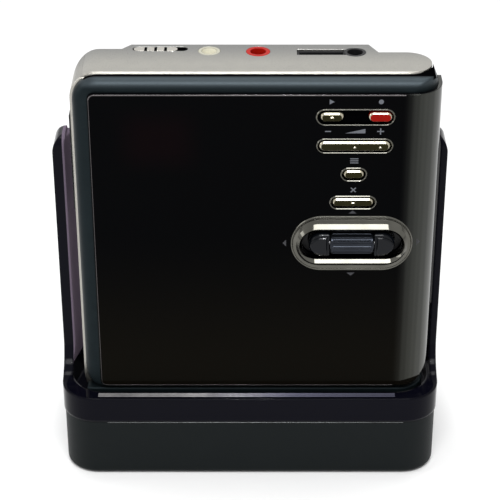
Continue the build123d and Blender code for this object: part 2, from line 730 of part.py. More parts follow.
def hinge_boss_spans():
    """Height spans of the pin bosses inside the barrel, at the top and the bottom."""
    ears = holder_ear_heights()
    return ((ears[0] - 1.4, INSIDE_TOP + 0.1), (LOW_KNUCKLE - 1.6, ears[1] + HOLDER_EAR_THICK + 1.4))


def pin_spans():
    top, low = hinge_boss_spans()
    return ((top[0] + 0.2, PLAYER_TOP - 0.6), (low[0] + 0.3, low[1] - 0.2))


def case_screw_places():
    low, high = PLAYER_BASE + POST_END_GAP, PLAYER_TOP - POST_END_GAP
    left, right = deep(LEFT_END_DEPTH), deep(HINGE_DEPTH + BARREL_RADIUS)
    return [(LEFT_POST_X, low, left), (LEFT_POST_X, high, left),
            (RIGHT_POST_X, low, right), (RIGHT_POST_X, high, right)]


def battery_door_opening():
    x0 = DOOR_LEFT - DOOR_GAP
    x1 = DOOR_PIVOT_X + DOOR_THICK / 2 + DOOR_GAP
    return block(x0, x1, deep(INSIDE_BACK - 1), deep(BODY_BACK + 1), DOOR_LOW - DOOR_GAP, DOOR_TOP + DOOR_GAP)


def make_body():
    """The whole silver body: open tray with the hinge barrel, sockets, slider slots and bay door."""
    body = plan_prism(body_outline(), PLAYER_BASE, PLAYER_TOP)
    silhouette = left_rounded(BODY_LEFT, LID_RIGHT + 5, PLAYER_BASE, PLAYER_TOP, SHELL_CORNER)
    body &= front_prism(silhouette, deep(0), deep(BODY_BACK + 5))
    inner_corner = SHELL_CORNER - SHELL_WALL
    inside = left_rounded(INSIDE_LEFT, LID_RIGHT + 5, INSIDE_LOW, INSIDE_TOP, inner_corner)
    cavity = plan_prism(offset(body_outline(), -SHELL_WALL), INSIDE_LOW, INSIDE_TOP)
    mouth = block(INSIDE_LEFT, HINGE_X - MOUTH_END, deep(BODY_FRONT - 1), deep(BODY_FRONT + 3),
                  INSIDE_LOW, INSIDE_TOP)
    room = (cavity + mouth) & front_prism(inside, deep(0), deep(BODY_BACK + 5))
    body -= room
    cx, cy = HINGE_X, deep(HINGE_DEPTH)
    for z0, z1 in hinge_boss_spans():
        web = block(cx - HINGE_WEB_HALF, cx + HINGE_WEB_HALF, cy, cy + BARREL_RADIUS - 0.5, z0, z1)
        body += rod_z(cx, cy, z0, z1, HINGE_BOSS) + web
    body -= hinge_slots()
    for z0, z1 in pin_spans():
        body -= rod_z(cx, cy, z0, z1, PIN_RADIUS + SCREW_GAP)
    for x, z, y in case_screw_places():
        body -= rod_y(x, y - SHELL_WALL - 1, y + 1, z, CASE_SCREW_SHANK + SCREW_GAP)
        body -= rod_y(x, y - CASE_SCREW_HEAD_THICK - 0.1, y + 1, z, CASE_SCREW_HEAD + SCREW_GAP)
    body -= battery_door_opening()
    for z0, z1 in ((DOOR_LOW - 1, DOOR_LOW), (DOOR_TOP, DOOR_TOP + 1)):
        body -= rod_z(DOOR_PIVOT_X, deep(DOOR_DEPTH), z0, z1, DOOR_PIN + RUNNING_GAP)
    body -= top_openings()
    body -= open_slider_openings()
    for x in contact_places():
        half = PAD_HALF + RING_GAP
        body -= block(x - half, x + half, deep(CONTACT_DEPTH) - half, deep(CONTACT_DEPTH) + half,
                      PLAYER_BASE - 1, INSIDE_LOW + 1)
    return body


def body_slice(body, low, high):
    """The part of the silver body between two heights."""
    return body & block(BODY_LEFT - 1, LID_RIGHT, deep(0), deep(BODY_BACK + 1), low, high)


def make_rear_shell(body):
    """Silver tray of the body, up to the seam under its top."""
    return body_slice(body, PLAYER_BASE, INSIDE_TOP - CAP_SEAM)


def make_top_cap(body):
    """Silver top of the body, with the openings for the sockets and the hold slider."""
    return body_slice(body, INSIDE_TOP, PLAYER_TOP)


def top_openings():
    """Round holes for the three sockets, the remote slot and the hold slider's slot."""
    z0, z1 = INSIDE_TOP - 1, PLAYER_TOP + 1
    cut = rod_z(LINE_IN_X, deep(LINE_IN_DEPTH), z0, z1, LINE_IN_RING + RING_GAP)
    cut += rod_z(MIC_X, deep(MIC_DEPTH), z0, z1, MIC_RING + RING_GAP)
    cut += rod_z(PHONE_X, deep(PHONE_DEPTH), z0, z1, PHONE_RING + RING_GAP)
    cut += block(REMOTE_LEFT - RING_GAP, REMOTE_RIGHT + RING_GAP, deep(PHONE_DEPTH) - REMOTE_HALF - RING_GAP,
                 deep(PHONE_DEPTH) + REMOTE_HALF + RING_GAP, z0, z1)
    slot = Pos(HOLD_X, deep(HOLD_DEPTH)) * SlotOverall(HOLD_SLOT_LENGTH, HOLD_SLOT_WIDTH)
    cut += plan_prism(slot, PLAYER_TOP - HOLD_RECESS, z1)
    cut += block(HOLD_X - 3, HOLD_X + 3 + HOLD_TRAVEL / 2, deep(HOLD_DEPTH) - 0.6, deep(HOLD_DEPTH) + 0.6,
                 z0, z1)
    return cut


def open_slider_openings():
    """Recess in the left wall for the ribbed slider, with a slot for its stem."""
    y0, y1 = deep(OPEN_DEPTH - OPEN_HALF), deep(OPEN_DEPTH + OPEN_HALF)
    low = PLAYER_BASE + OPEN_LOW
    high = low + OPEN_LENGTH
    gap = SLIDER_GAP
    cut = block(BODY_LEFT - 1, BODY_LEFT + OPEN_RECESS, y0 - gap, y1 + gap,
                low - OPEN_TRAVEL - gap, high + gap)
    middle = (low + high) / 2
    cut += block(BODY_LEFT - 1, INSIDE_LEFT + 1, deep(OPEN_DEPTH) - 0.7, deep(OPEN_DEPTH) + 0.7,
                 middle - 3 - OPEN_TRAVEL, middle + 3)
    return cut


def lid_outline(thick_in=0.0, skin=None):
    """The lid in plan. With a skin value, only a layer of that thickness is drawn."""
    left = LID_LEFT if skin is None else PANEL_LEFT
    face = deep(thick_in)
    radius = SPINE_RADIUS - thick_in
    right = SPINE_X + radius
    centre = (SPINE_X, deep(SPINE_RADIUS))
    end = deep(SPINE_END)
    outer = [
        Line((left, face), (SPINE_X, face)),
        CenterArc(centre, radius, -90, 90),
        Line((right, deep(SPINE_RADIUS)), (right, end)),
    ]
    if skin is None:
        tail_angle = math.degrees(math.asin(SPINE_TAIL / LID_INNER_RADIUS))
        tail_x = HINGE_X + LID_INNER_RADIUS * math.cos(math.radians(tail_angle))
        inner = [
            Line((right, end), (tail_x, end)),
            CenterArc((HINGE_X, deep(HINGE_DEPTH)), LID_INNER_RADIUS, tail_angle, -90 - tail_angle),
            Line((HINGE_X, deep(LID_BACK)), (left, deep(LID_BACK))),
            Line((left, deep(LID_BACK)), (left, face)),
        ]
    else:
        inside = radius - skin
        inner = [
            Line((right, end), (right - skin, end)),
            Line((right - skin, end), (right - skin, deep(SPINE_RADIUS))),
            CenterArc(centre, inside, 0, -90),
            Line((SPINE_X, face + skin), (left, face + skin)),
            Line((left, face + skin), (left, face)),
        ]
    return make_face(outer + inner)


def lid_silhouette(left, right, low, high, left_radius, foot_radius):
    """The lid in front view: round left corners and a large round at the spine's foot."""
    face = left_rounded(left, right, low, high, left_radius)
    corner = Pos(right - foot_radius / 2, low + foot_radius / 2) * Rectangle(foot_radius, foot_radius)
    face -= corner - Pos(right - foot_radius, low + foot_radius) * Circle(foot_radius)
    return face


def lid_knuckles():
    """Two flat knuckles that reach from the spine's inside to the hinge pin."""
    centre = Pos(HINGE_X, deep(HINGE_DEPTH))
    reach = LID_INNER_RADIUS + 0.3
    arm = Rot(0, 0, KNUCKLE_ANGLE) * Pos(reach / 2, 0) * Rectangle(reach, 2 * KNUCKLE_RADIUS)
    plate = centre * (Circle(KNUCKLE_RADIUS) + arm - Circle(PIN_RADIUS + RUNNING_GAP))
    knuckles = Part()
    for z in (TOP_KNUCKLE, LOW_KNUCKLE):
        knuckles += plan_prism(plate, z, z + KNUCKLE_THICK)
    return knuckles


def key_list():
    """Name, X, Z, length and width of each pill-shaped key on the front."""
    return (
        ("play", PLAY_X, PAIR_Z, PAIR_KEY_LENGTH, PAIR_KEY_WIDTH),
        ("record", RECORD_X, PAIR_Z, PAIR_KEY_LENGTH, PAIR_KEY_WIDTH),
        ("volume", KEY_X, VOLUME_Z, VOLUME_LENGTH, VOLUME_WIDTH),
        ("menu", KEY_X, MENU_Z, MENU_LENGTH, MENU_WIDTH),
        ("cancel", KEY_X, CANCEL_Z, CANCEL_LENGTH, CANCEL_WIDTH),
    )


def key_recesses():
    """Outlines of the recesses in the panel: one for the pair of keys, one for each other key."""
    recesses = [(KEY_X, PAIR_Z, PAIR_LENGTH, PAIR_WIDTH)]
    for name, x, z, length, width in key_list():
        if name not in ("play", "record"):
            recesses.append((x, z, length + 2 * KEY_MARGIN, width + 2 * KEY_MARGIN))
    return recesses


def make_lid_frame():
    """Slate lid: a shallow tray that turns into the book spine, with knuckles for the pin."""
    right = LID_RIGHT - LID_SKIN
    soft = left_rounded(LID_LEFT, 2 * LID_RIGHT, 0, LID_TOP, SHELL_CORNER - 0.4)
    frame = front_prism(soft, deep(LID_SKIN), deep(SPINE_END + 1))
    front_edges = [e for e in frame.edges() if abs(e.center().Y - deep(LID_SKIN)) < 0.01]
    frame = fillet([e for e in front_edges if e.center().Z > 1 and e.center().X < LID_RIGHT], LID_EDGE_ROUND)
    outline = lid_silhouette(LID_LEFT, right, LID_LOW, LID_TOP, SHELL_CORNER - 0.4, SPINE_FOOT_ROUND)
    frame &= front_prism(outline, deep(0), deep(SPINE_END + 1))
    frame &= plan_prism(lid_outline(LID_SKIN), LID_LOW, LID_TOP)
    slope = Polygon((right - SPINE_TOP_RUN, LID_TOP), (right, LID_TOP - SPINE_TOP_DROP),
                    (right + 1, LID_TOP - SPINE_TOP_DROP), (right + 1, LID_TOP + 1),
                    (right - SPINE_TOP_RUN, LID_TOP + 1), align=None)
    frame -= front_prism(slope, deep(0), deep(SPINE_END + 1))
    tray = left_rounded(LID_LEFT + LID_RIM, HINGE_X - 2.0, LID_LOW + LID_RIM, LID_TOP - LID_RIM,
                        SHELL_CORNER - LID_RIM)
    frame -= front_prism(tray, deep(LID_CAVITY), deep(LID_BACK + 1))
    for x, z in lid_screw_places():
        frame += rod_y(x, deep(LID_CAVITY) - 0.1, deep(LINER_FRONT), z, LID_BOSS)
        frame -= rod_y(x, deep(LID_CAVITY), deep(LID_BACK), z, LID_SCREW_SHANK + SCREW_GAP)
    pocket = pill(KEY_X, JOG_Z, JOG_PLATE_LENGTH + 2 * JOG_SHIFT + 0.4, JOG_PLATE_WIDTH + 0.2)
    frame -= front_prism(pocket, deep(LID_CAVITY), deep(LINER_FRONT))
    for name, x, z, length, width in key_list():
        hole = pill(x, z, length + 2 * KEY_GAP, width + 2 * KEY_GAP)
        frame -= front_prism(hole, deep(0), deep(LID_CAVITY + 1))
    frame -= front_prism(pill(KEY_X, JOG_Z, JOG_SLOT_LENGTH, JOG_SLOT_WIDTH), deep(0), deep(LID_CAVITY + 1))
    frame -= block(DISPLAY_LEFT + 1, DISPLAY_RIGHT - 1, deep(0), deep(LID_CAVITY + 1),
                   PLAYER_BASE + DISPLAY_LOW + 1, PLAYER_BASE + DISPLAY_HIGH - 1)
    frame += lid_knuckles()
    frame -= rod_z(HINGE_X, deep(HINGE_DEPTH), LID_LOW, LID_TOP, PIN_RADIUS + RUNNING_GAP)
    return frame


def make_front_panel():
    """Glossy black skin over the lid's front that wraps round the spine."""
    outline = lid_silhouette(PANEL_LEFT, LID_RIGHT, PANEL_LOW, PANEL_TOP, PANEL_CORNER, SPINE_FOOT_ROUND)
    panel = front_prism(outline, deep(0), deep(SPINE_END + 1))
    panel = chamfer([e for e in panel.edges() if abs(e.center().Y - deep(0)) < 0.01], EDGE_BREAK)
    panel &= plan_prism(lid_outline(0, PANEL_THICK), PANEL_LOW, PANEL_TOP)
    for x, z, length, width in key_recesses():
        panel -= front_prism(pill(x, z, length, width), deep(-1), deep(PANEL_THICK + 1))
    seat = pill(KEY_X, JOG_Z, JOG_RING_LENGTH - 2 * JOG_CREST, JOG_RING_WIDTH - 2 * JOG_CREST)
    panel -= front_prism(seat, deep(-1), deep(PANEL_THICK + 1))
    return panel


def make_lid_liner():
    """Thin inner cover of the lid, seen when it is open."""
    inset = LID_RIM + LINER_INSET
    face = left_rounded(LID_LEFT + inset, HINGE_X - KNUCKLE_RADIUS, LID_LOW + inset, LID_TOP - inset,
                        SHELL_CORNER - inset)
    liner = front_prism(face, deep(LINER_FRONT), deep(LINER_FRONT + LINER_THICK))
    rib = LINER_RIB_HEIGHT
    low = LID_LOW + LINER_RIB_PITCH
    for i in range(LINER_RIB_COUNT):
        x = LID_LEFT + LINER_RIB_INSET + LINER_RIB_PITCH * i
        liner += block(x - rib, x + rib, deep(LINER_FRONT - rib), deep(LINER_FRONT),
                       low, low + LINER_RIB_LENGTH)
    for x, z in lid_screw_places():
        liner -= rod_y(x, deep(LINER_FRONT - 1), deep(LID_BACK), z, LID_SCREW_SHANK + SCREW_GAP)
        liner -= rod_y(x, deep(LINER_FRONT + LID_SCREW_SINK), deep(LID_BACK), z, LID_SCREW_HEAD + SCREW_GAP)
    return liner


def lid_screw_places():
    left, right = LID_LEFT + LID_SCREW_LEFT_INSET, HINGE_X - LID_SCREW_HINGE_GAP
    low, high = LID_LOW + LID_SCREW_END_GAP, LID_TOP - LID_SCREW_END_GAP
    return [(left, low), (right, low), (left, high), (right, high)]


def make_lid_screws():
    screws = Part()
    seat = deep(LINER_FRONT + LID_SCREW_SINK)
    back = deep(LINER_FRONT + LINER_THICK)
    for x, z in lid_screw_places():
        screws += rod_y(x, deep(LID_CAVITY + 0.1), seat + 0.05, z, LID_SCREW_SHANK)
        screws += rod_y(x, seat, back, z, LID_SCREW_HEAD)
    return screws


def make_display_module():
    """Slim display in a metal frame behind the upper left of the panel."""
    z0, z1 = PLAYER_BASE + DISPLAY_LOW, PLAYER_BASE + DISPLAY_HIGH
    module = block(DISPLAY_LEFT, DISPLAY_RIGHT, deep(LID_CAVITY + 0.02), deep(LID_CAVITY + DISPLAY_THICK),
                   z0, z1)
    module += block(DISPLAY_LEFT + 1.2, DISPLAY_RIGHT - 1.2, deep(PANEL_THICK + 0.05), deep(LID_CAVITY + 0.1),
                    z0 + 1.2, z1 - 1.2)
    tail = block(DISPLAY_RIGHT - 0.1, DISPLAY_RIGHT + 3, deep(LID_CAVITY + 0.8), deep(LID_CAVITY + 0.95),
                 z0 + 2, z1 - 2)
    return module + tail


def make_key_board():
    """Flexible key board behind the keys, with a dome under each."""
    y0, y1 = deep(KEY_BOARD_FRONT), deep(KEY_BOARD_FRONT + KEY_BOARD_THICK)
    board = block(KEY_X - 11.2, KEY_X + 8.8, y0, y1, CANCEL_Z - 3.5, PAIR_Z + 1.2)
    for z in (CANCEL_Z, PAIR_Z - 1):
        for x in (KEY_X - 9.5, KEY_X + 7.0):
            board += block(x - 1, x + 1, y1 - 0.1, deep(LINER_FRONT), z - 1, z + 1)
    for name, x, z, length, width in key_list():
        places = (x - length / 3, x + length / 3) if name == "volume" else (x,)
        for place in places:
            board += rod_y(place, y0 - DOME_HEIGHT, y0 + 0.1, z, DOME_RADIUS)
    return board


def make_key(x, z, length, width, sink=0.0):
    """A pill-shaped key cap with a soft front edge and a flange that keeps it in."""
    seat = KEY_BACK + sink
    cap = front_prism(pill(x, z, length, width), deep(-KEY_PROUD), deep(seat))
    front = [e for e in cap.edges() if abs(e.center().Y - deep(-KEY_PROUD)) < 0.01]
    cap = chamfer(front, KEY_EDGE)
    flange = pill(x, z, length + 2 * KEY_FLANGE, width + 2 * KEY_FLANGE)
    return cap + front_prism(flange, deep(seat), deep(seat + KEY_FLANGE_THICK))


def make_volume_rocker():
    """Long key that rocks on a pip at its middle, with two raised dots."""
    rocker = make_key(KEY_X, VOLUME_Z, VOLUME_LENGTH, VOLUME_WIDTH, ROCKER_SINK)
    pivot = deep(KEY_BOARD_FRONT - KEY_BACK_GAP - ROCKER_PIVOT)
    rocker += rod_z(KEY_X, pivot, VOLUME_Z - 1.2, VOLUME_Z + 1.2, ROCKER_PIVOT)
    for x in (KEY_X, KEY_X + VOLUME_LENGTH * 0.4):
        rocker += rod_y(x, deep(-KEY_PROUD - 0.15), deep(0), VOLUME_Z, 0.3)
    return rocker


def make_key_bezels():
    """Bright liners round the key recesses."""
    bezels = Part()
    for x, z, length, width in key_recesses():
        ring = pill(x, z, length, width) - pill(x, z, length - 2 * BEZEL_WALL, width - 2 * BEZEL_WALL)
        bezels += front_prism(ring, deep(-BEZEL_PROUD), deep(PANEL_THICK))
    return bezels


def lofted_pill(length0, width0, depth0, length1, width1, depth1):
    """A tapering pill between two depths."""
    first = front_plane(deep(depth0)) * pill(KEY_X, JOG_Z, length0, width0)
    second = front_plane(deep(depth1)) * pill(KEY_X, JOG_Z, length1, width1)
    return loft([first, second], ruled=True)


def make_jog_bezel():
    """Chrome ring with a raised crest and a dish that falls to the jog slot."""
    length, width = JOG_RING_LENGTH, JOG_RING_WIDTH
    crest = 2 * JOG_CREST
    ring = lofted_pill(length, width, 0, length - crest, width - crest, -JOG_CREST)
    ring += lofted_pill(length - crest - 0.1, width - crest - 0.1, PANEL_THICK,
                        length - crest - 0.1, width - crest - 0.1, -JOG_CREST / 2)
    ring -= lofted_pill(length - crest - 0.8, width - crest - 0.8, -JOG_CREST - 0.01,
                        JOG_SLOT_LENGTH, JOG_SLOT_WIDTH, PANEL_THICK - 0.2)
    ring -= front_prism(pill(KEY_X, JOG_Z, JOG_SLOT_LENGTH, JOG_SLOT_WIDTH), deep(-2), deep(PANEL_THICK + 1))
    return ring


def jog_gap_half():
    return ROLLER_LENGTH / 2 + ROLLER_GAP


def make_jog_yoke():
    """Two domed end blocks joined behind the roller; they carry its axle."""
    back = ROLLER_DEPTH + ROLLER_RADIUS + ROLLER_GAP
    outline = pill(KEY_X, JOG_Z, JOG_BLOCK_LENGTH, JOG_BLOCK_WIDTH)
    blocks = front_prism(outline, deep(-JOG_BLOCK_PROUD), deep(back))
    front = [e for e in blocks.edges() if abs(e.center().Y - deep(-JOG_BLOCK_PROUD)) < 0.01]
    blocks = fillet(front, JOG_BLOCK_ROUND)
    half = jog_gap_half()
    blocks -= block(KEY_X - half, KEY_X + half, deep(-5), deep(5), JOG_Z - 5, JOG_Z + 5)
    keeper = pill(KEY_X, JOG_Z, JOG_BLOCK_LENGTH + 2 * KEY_FLANGE, JOG_BLOCK_WIDTH + 2 * KEY_FLANGE)
    yoke = blocks + front_prism(keeper, deep(back), deep(back + JOG_BACK_THICK))
    yoke -= rod_x(KEY_X - half - 2, KEY_X + half + 2, deep(ROLLER_DEPTH), JOG_Z, JOG_AXLE + SCREW_GAP)
    return yoke


def make_jog_axle():
    half = jog_gap_half() + 1.9
    return rod_x(KEY_X - half, KEY_X + half, deep(ROLLER_DEPTH), JOG_Z, JOG_AXLE)


def make_jog_roller():
    """Roller with flutes along its axis and a bore that turns on the axle."""
    half = ROLLER_LENGTH / 2
    y, z = deep(ROLLER_DEPTH), JOG_Z
    roller = rod_x(KEY_X - half, KEY_X + half, y, z, ROLLER_RADIUS)
    roller = chamfer(roller.edges(), 0.3)
    for i in range(ROLLER_FLUTES):
        angle = math.radians(360 / ROLLER_FLUTES * (i + 0.5))
        reach = ROLLER_RADIUS + 0.35
        roller -= rod_x(KEY_X - half + 0.6, KEY_X + half - 0.6, y + reach * math.cos(angle),
                        z + reach * math.sin(angle), 0.6)
    return roller - rod_x(KEY_X - half - 1, KEY_X + half + 1, y, z, JOG_AXLE + RUNNING_GAP)


def make_disc_holder():
    """Folded sheet-metal frame that carries the disc case and swings out with the lid."""
    holder = block(HOLDER_LEFT, HOLDER_RIGHT, deep(HOLDER_FRONT), deep(HOLDER_BACK), HOLDER_LOW, HOLDER_TOP)
    inner_y0, inner_y1 = deep(HOLDER_FRONT + HOLDER_SHEET), deep(HOLDER_BACK - HOLDER_SHEET)
    holder -= block(HOLDER_LEFT - 1, HOLDER_RIGHT - HOLDER_SHEET, inner_y0, inner_y1,
                    HOLDER_LOW + HOLDER_SHEET, HOLDER_TOP - HOLDER_SHEET)
    holder -= block(HOLDER_LEFT + HOLDER_LIP, HOLDER_RIGHT - HOLDER_LIP, deep(HOLDER_FRONT - 1),
                    inner_y0 + 0.1, HOLDER_LOW + HOLDER_LIP, HOLDER_TOP - HOLDER_LIP)
    reach = MOTOR_RADIUS + HOLDER_WINDOW_MARGIN
    holder -= block(SPINDLE_X - reach, SPINDLE_X + reach, inner_y1 - 0.1, deep(HOLDER_BACK + 1),
                    HOLDER_LOW + HOLDER_WINDOW_MARGIN, PLAYER_MID + reach)
    centre = Pos(HINGE_X, deep(HINGE_DEPTH))
    reach = HINGE_X - HOLDER_RIGHT + 0.3
    arm = Pos(-reach / 2, 0) * Rectangle(reach, 2 * HOLDER_EAR_HALF)
    ear = centre * (Circle(HINGE_BOSS - 0.3) + arm - Circle(PIN_RADIUS + RUNNING_GAP))
    for z in holder_ear_heights():
        holder += plan_prism(ear, z, z + HOLDER_EAR_THICK)
    return holder


def make_holder_springs():
    """Two leaf springs under the holder's front lips that steady the disc case."""
    springs = Part()
    y0 = deep(HOLDER_FRONT + HOLDER_SHEET)
    middle = (HOLDER_LEFT + HOLDER_RIGHT) / 2
    for z in (HOLDER_LOW + HOLDER_LIP / 2, HOLDER_TOP - HOLDER_LIP / 2):
        springs += block(middle - SPRING_LENGTH / 2, middle + SPRING_LENGTH / 2, y0, y0 + SPRING_THICK,
                         z - SPRING_WIDTH / 2, z + SPRING_WIDTH / 2)
    return springs


def deck_window():
    """Opening in the deck for the sled's whole travel and the spindle."""
    low = PLAYER_MID - SLED_START - SLED_TRAVEL - SLED_HEIGHT / 2 - WINDOW_MARGIN
    high = PLAYER_MID - SLED_START + SLED_HEIGHT / 2 + WINDOW_MARGIN
    half = SLED_WIDTH / 2 - 4
    face = Pos(SPINDLE_X, (low + high) / 2) * RectangleRounded(2 * half, high - low, 2)
    return face


def make_chassis():
    """Drive deck across the body, with a sled window, screw posts and bearings for the rods."""
    face = left_rounded(INSIDE_LEFT + DECK_EDGE_GAP, HINGE_X - 4.6, INSIDE_LOW + DECK_EDGE_GAP,
                        INSIDE_TOP - DECK_EDGE_GAP, DECK_CORNER)
    deck = front_prism(face, deep(DECK_DEPTH), deep(DECK_BACK))
    deck -= front_prism(deck_window(), deep(DECK_DEPTH - 1), deep(DECK_BACK + 1))
    deck -= rod_y(SPINDLE_X, deep(DECK_DEPTH - 1), deep(DECK_BACK + 1), PLAYER_MID, HUB_RADIUS + 0.6)
    for x, z, y in case_screw_places():
        deck += rod_y(x, deep(DECK_BACK) - 0.1, y - SHELL_WALL - 0.02, z, POST_RADIUS)
        deck -= rod_y(x, y - SHELL_WALL - CASE_SCREW_LENGTH, y + 1, z, CASE_SCREW_SHANK + SCREW_GAP)
    for x in rod_places():
        for z0, z1 in bearing_spans():
            deck += block(x - 1.6, x + 1.6, deep(DECK_BACK) - 0.1, deep(ROD_DEPTH + 1.5), z0, z1)
            deck -= rod_z(x, deep(ROD_DEPTH), z0 - 1, z1 + 1, ROD_RADIUS + SCREW_GAP)
    x = lead_screw_x()
    z0, z1 = bearing_spans()[0]
    deck += block(x - 1.8, x + 1.8, deep(DECK_BACK) - 0.1, deep(ROD_DEPTH + 1.6), z0, z1)
    deck -= rod_z(x, deep(ROD_DEPTH), z0 - 1, z1 + 1, LEAD_RADIUS + RUNNING_GAP)
    for x in (LEFT_POST_X + DECK_SLOT_INSET, RIGHT_POST_X - 4 * DECK_SLOT_INSET):
        deck -= block(x - DECK_SLOT_HALF, x + DECK_SLOT_HALF, deep(DECK_DEPTH - 1), deep(DECK_BACK + 1),
                      PLAYER_MID + MOTOR_RADIUS, PLAYER_MID + MOTOR_RADIUS + DECK_SLOT_HALF)
    return deck


def rod_places():
    return (SPINDLE_X - ROD_SPREAD, SPINDLE_X + ROD_SPREAD)


def lead_screw_x():
    return SPINDLE_X - SCREW_OFFSET


def bearing_spans():
    """Height spans of the lower and upper bearing blocks of the guide rods."""
    low = PLAYER_MID - SLED_START - SLED_TRAVEL - SLED_HEIGHT / 2 - 1.2
    high = PLAYER_MID - SLED_START + SLED_HEIGHT / 2 + 1.0
    return ((low - 1.6, low), (high, high + 1.6))


def make_guide_rods():
    rods = Part()
    (z0, _), (_, z1) = bearing_spans()
    for x in rod_places():
        rods += rod_z(x, deep(ROD_DEPTH), z0, z1, ROD_RADIUS)
    return rods


def make_lead_screw():
    (z0, _), (_, z1) = bearing_spans()
    return rod_z(lead_screw_x(), deep(ROD_DEPTH), z0 + 0.1, z1 + 2.0, LEAD_RADIUS)


def make_sled_motor():
    """Small motor whose shaft is the lead screw, strapped to the back of the deck."""
    x, y = lead_screw_x(), deep(ROD_DEPTH)
    z0 = bearing_spans()[1][1] + 0.6
    motor = rod_z(x, y, z0, z0 + SLED_MOTOR_LENGTH, SLED_MOTOR_RADIUS)
    strap = block(x - SLED_MOTOR_RADIUS - 1, x + SLED_MOTOR_RADIUS + 1, deep(DECK_BACK), y, z0 + 2, z0 + 6)
    motor += strap
    return motor - rod_z(x, y, z0 - 1, z0 + 2.2, LEAD_RADIUS + RUNNING_GAP)


def make_optical_sled():
    """Pick-up carriage on the two rods, with the lens turret facing the disc."""
    x, z = SPINDLE_X, PLAYER_MID - SLED_START
    z0, z1 = z - SLED_HEIGHT / 2, z + SLED_HEIGHT / 2
    y0, y1 = deep(DECK_BACK + 0.4), deep(DECK_BACK + 0.4 + SLED_THICK)
    sled = block(x - SLED_WIDTH / 2, x + SLED_WIDTH / 2, y0, y1, z0, z1)
    sled -= block(x - SLED_WIDTH / 2 - 1, x - 5.6, y0 - 1, y1 + 1, z0 + 2.5, z1 - 2.5)
    sled -= block(x + 5.6, x + SLED_WIDTH / 2 + 1, y0 - 1, y1 + 1, z0 + 2.5, z1 - 2.5)
    sled += rod_y(x, deep(DECK_DEPTH - 0.2), y0 + 0.1, z, LENS_RADIUS + 1.8)
    sled -= rod_y(x, deep(DECK_DEPTH - 1), y0 + 0.5, z, LENS_RADIUS + SCREW_GAP)
    nut_x = lead_screw_x()
    sled += block(nut_x - 2.0, x - SLED_WIDTH / 2 + 1, y0 + 0.4, y1, z0 + 0.3, z0 + 2.3)
    for rod in rod_places():
        sled -= rod_z(rod, deep(ROD_DEPTH), z0 - 1, z1 + 1, ROD_RADIUS + RUNNING_GAP)
    return sled - rod_z(nut_x, deep(ROD_DEPTH), z0 - 1, z1 + 1, LEAD_RADIUS + RUNNING_GAP)


def make_objective_lens():
    x, z = SPINDLE_X, PLAYER_MID - SLED_START
    y1 = deep(DECK_BACK + 0.4)
    lens = rod_y(x, deep(DECK_DEPTH - 0.1), y1 + 0.4, z, LENS_RADIUS)
    front = [e for e in lens.edges() if abs(e.center().Y - deep(DECK_DEPTH - 0.1)) < 0.01]
    return chamfer(front, 0.5)


def make_spindle_motor():
    """Flat motor on a three-lobed flange behind the deck."""
    z = PLAYER_MID
    y0 = deep(DECK_BACK)
    motor = rod_y(SPINDLE_X, y0, y0 + MOTOR_THICK, z, MOTOR_RADIUS)
    for i in range(3):
        angle = math.radians(90 + 120 * i)
        dx, dz = (MOTOR_RADIUS + 0.6) * math.cos(angle), (MOTOR_RADIUS + 0.6) * math.sin(angle)
        motor += rod_y(SPINDLE_X + dx, y0, y0 + 0.5, z + dz, 1.6)
    return motor - rod_y(SPINDLE_X, y0 - 1, y0 + 2.2, z, SPINDLE_SHAFT + RUNNING_GAP)


def make_turntable():
    """Magnetic turntable with a tapered hub and the spindle shaft."""
    z = PLAYER_MID
    back = deep(DECK_DEPTH - 0.15)
    plate = rod_y(SPINDLE_X, back - TURNTABLE_THICK, back, z, TURNTABLE_RADIUS)
    hub = rod_y(SPINDLE_X, back - TURNTABLE_THICK - HUB_REACH, back, z, HUB_RADIUS)
    tip = [e for e in hub.edges() if abs(e.center().Y - (back - TURNTABLE_THICK - HUB_REACH)) < 0.01]
    hub = chamfer(tip, 0.6)
    return plate + hub + rod_y(SPINDLE_X, back - 0.1, deep(DECK_BACK + 2.0), z, SPINDLE_SHAFT)


def make_lower_rail():
    """Fixed black rail under the lid that stands in the dock's pocket."""
    rail_top = LIP_TOP - SEAT_GAP
    rail = plan_prism(lid_outline(PANEL_THICK), PLAYER_BASE, rail_top)
    rail += block(BODY_LEFT + 2, HINGE_X, deep(LID_BACK) - 0.1, deep(BODY_FRONT), PLAYER_BASE, rail_top)
    corner = SHELL_CORNER - 0.4
    outline = left_rounded(LID_LEFT, LID_RIGHT + 5, PLAYER_BASE, PLAYER_TOP, corner)
    return rail & front_prism(outline, deep(0), deep(SPINE_END + 1))


def make_charge_contacts():
    """Flat charging pads in the player's foot, one over each dock pin."""
    pads = Part()
    y = deep(CONTACT_DEPTH)
    for x in contact_places():
        pads += block(x - PAD_HALF, x + PAD_HALF, y - PAD_HALF, y + PAD_HALF, PLAYER_BASE + 0.02, INSIDE_LOW)
        wide = PAD_HALF + PAD_SEAT
        pads += block(x - wide, x + wide, y - PAD_HALF, y + wide, INSIDE_LOW, INSIDE_LOW + PAD_SEAT)
    return pads


def make_hinge_pins():
    pins = Part()
    for z0, z1 in pin_spans():
        pins += rod_z(HINGE_X, deep(HINGE_DEPTH), z0 + 0.05, z1 - 0.05, PIN_RADIUS)
    return pins


def make_case_screws():
    screws = Part()
    for x, z, y in case_screw_places():
        screws += rod_y(x, y - SHELL_WALL - CASE_SCREW_LENGTH + 0.1, y - 0.2, z, CASE_SCREW_SHANK)
        screws += rod_y(x, y - CASE_SCREW_HEAD_THICK - 0.1, y - 0.1, z, CASE_SCREW_HEAD)
    return screws


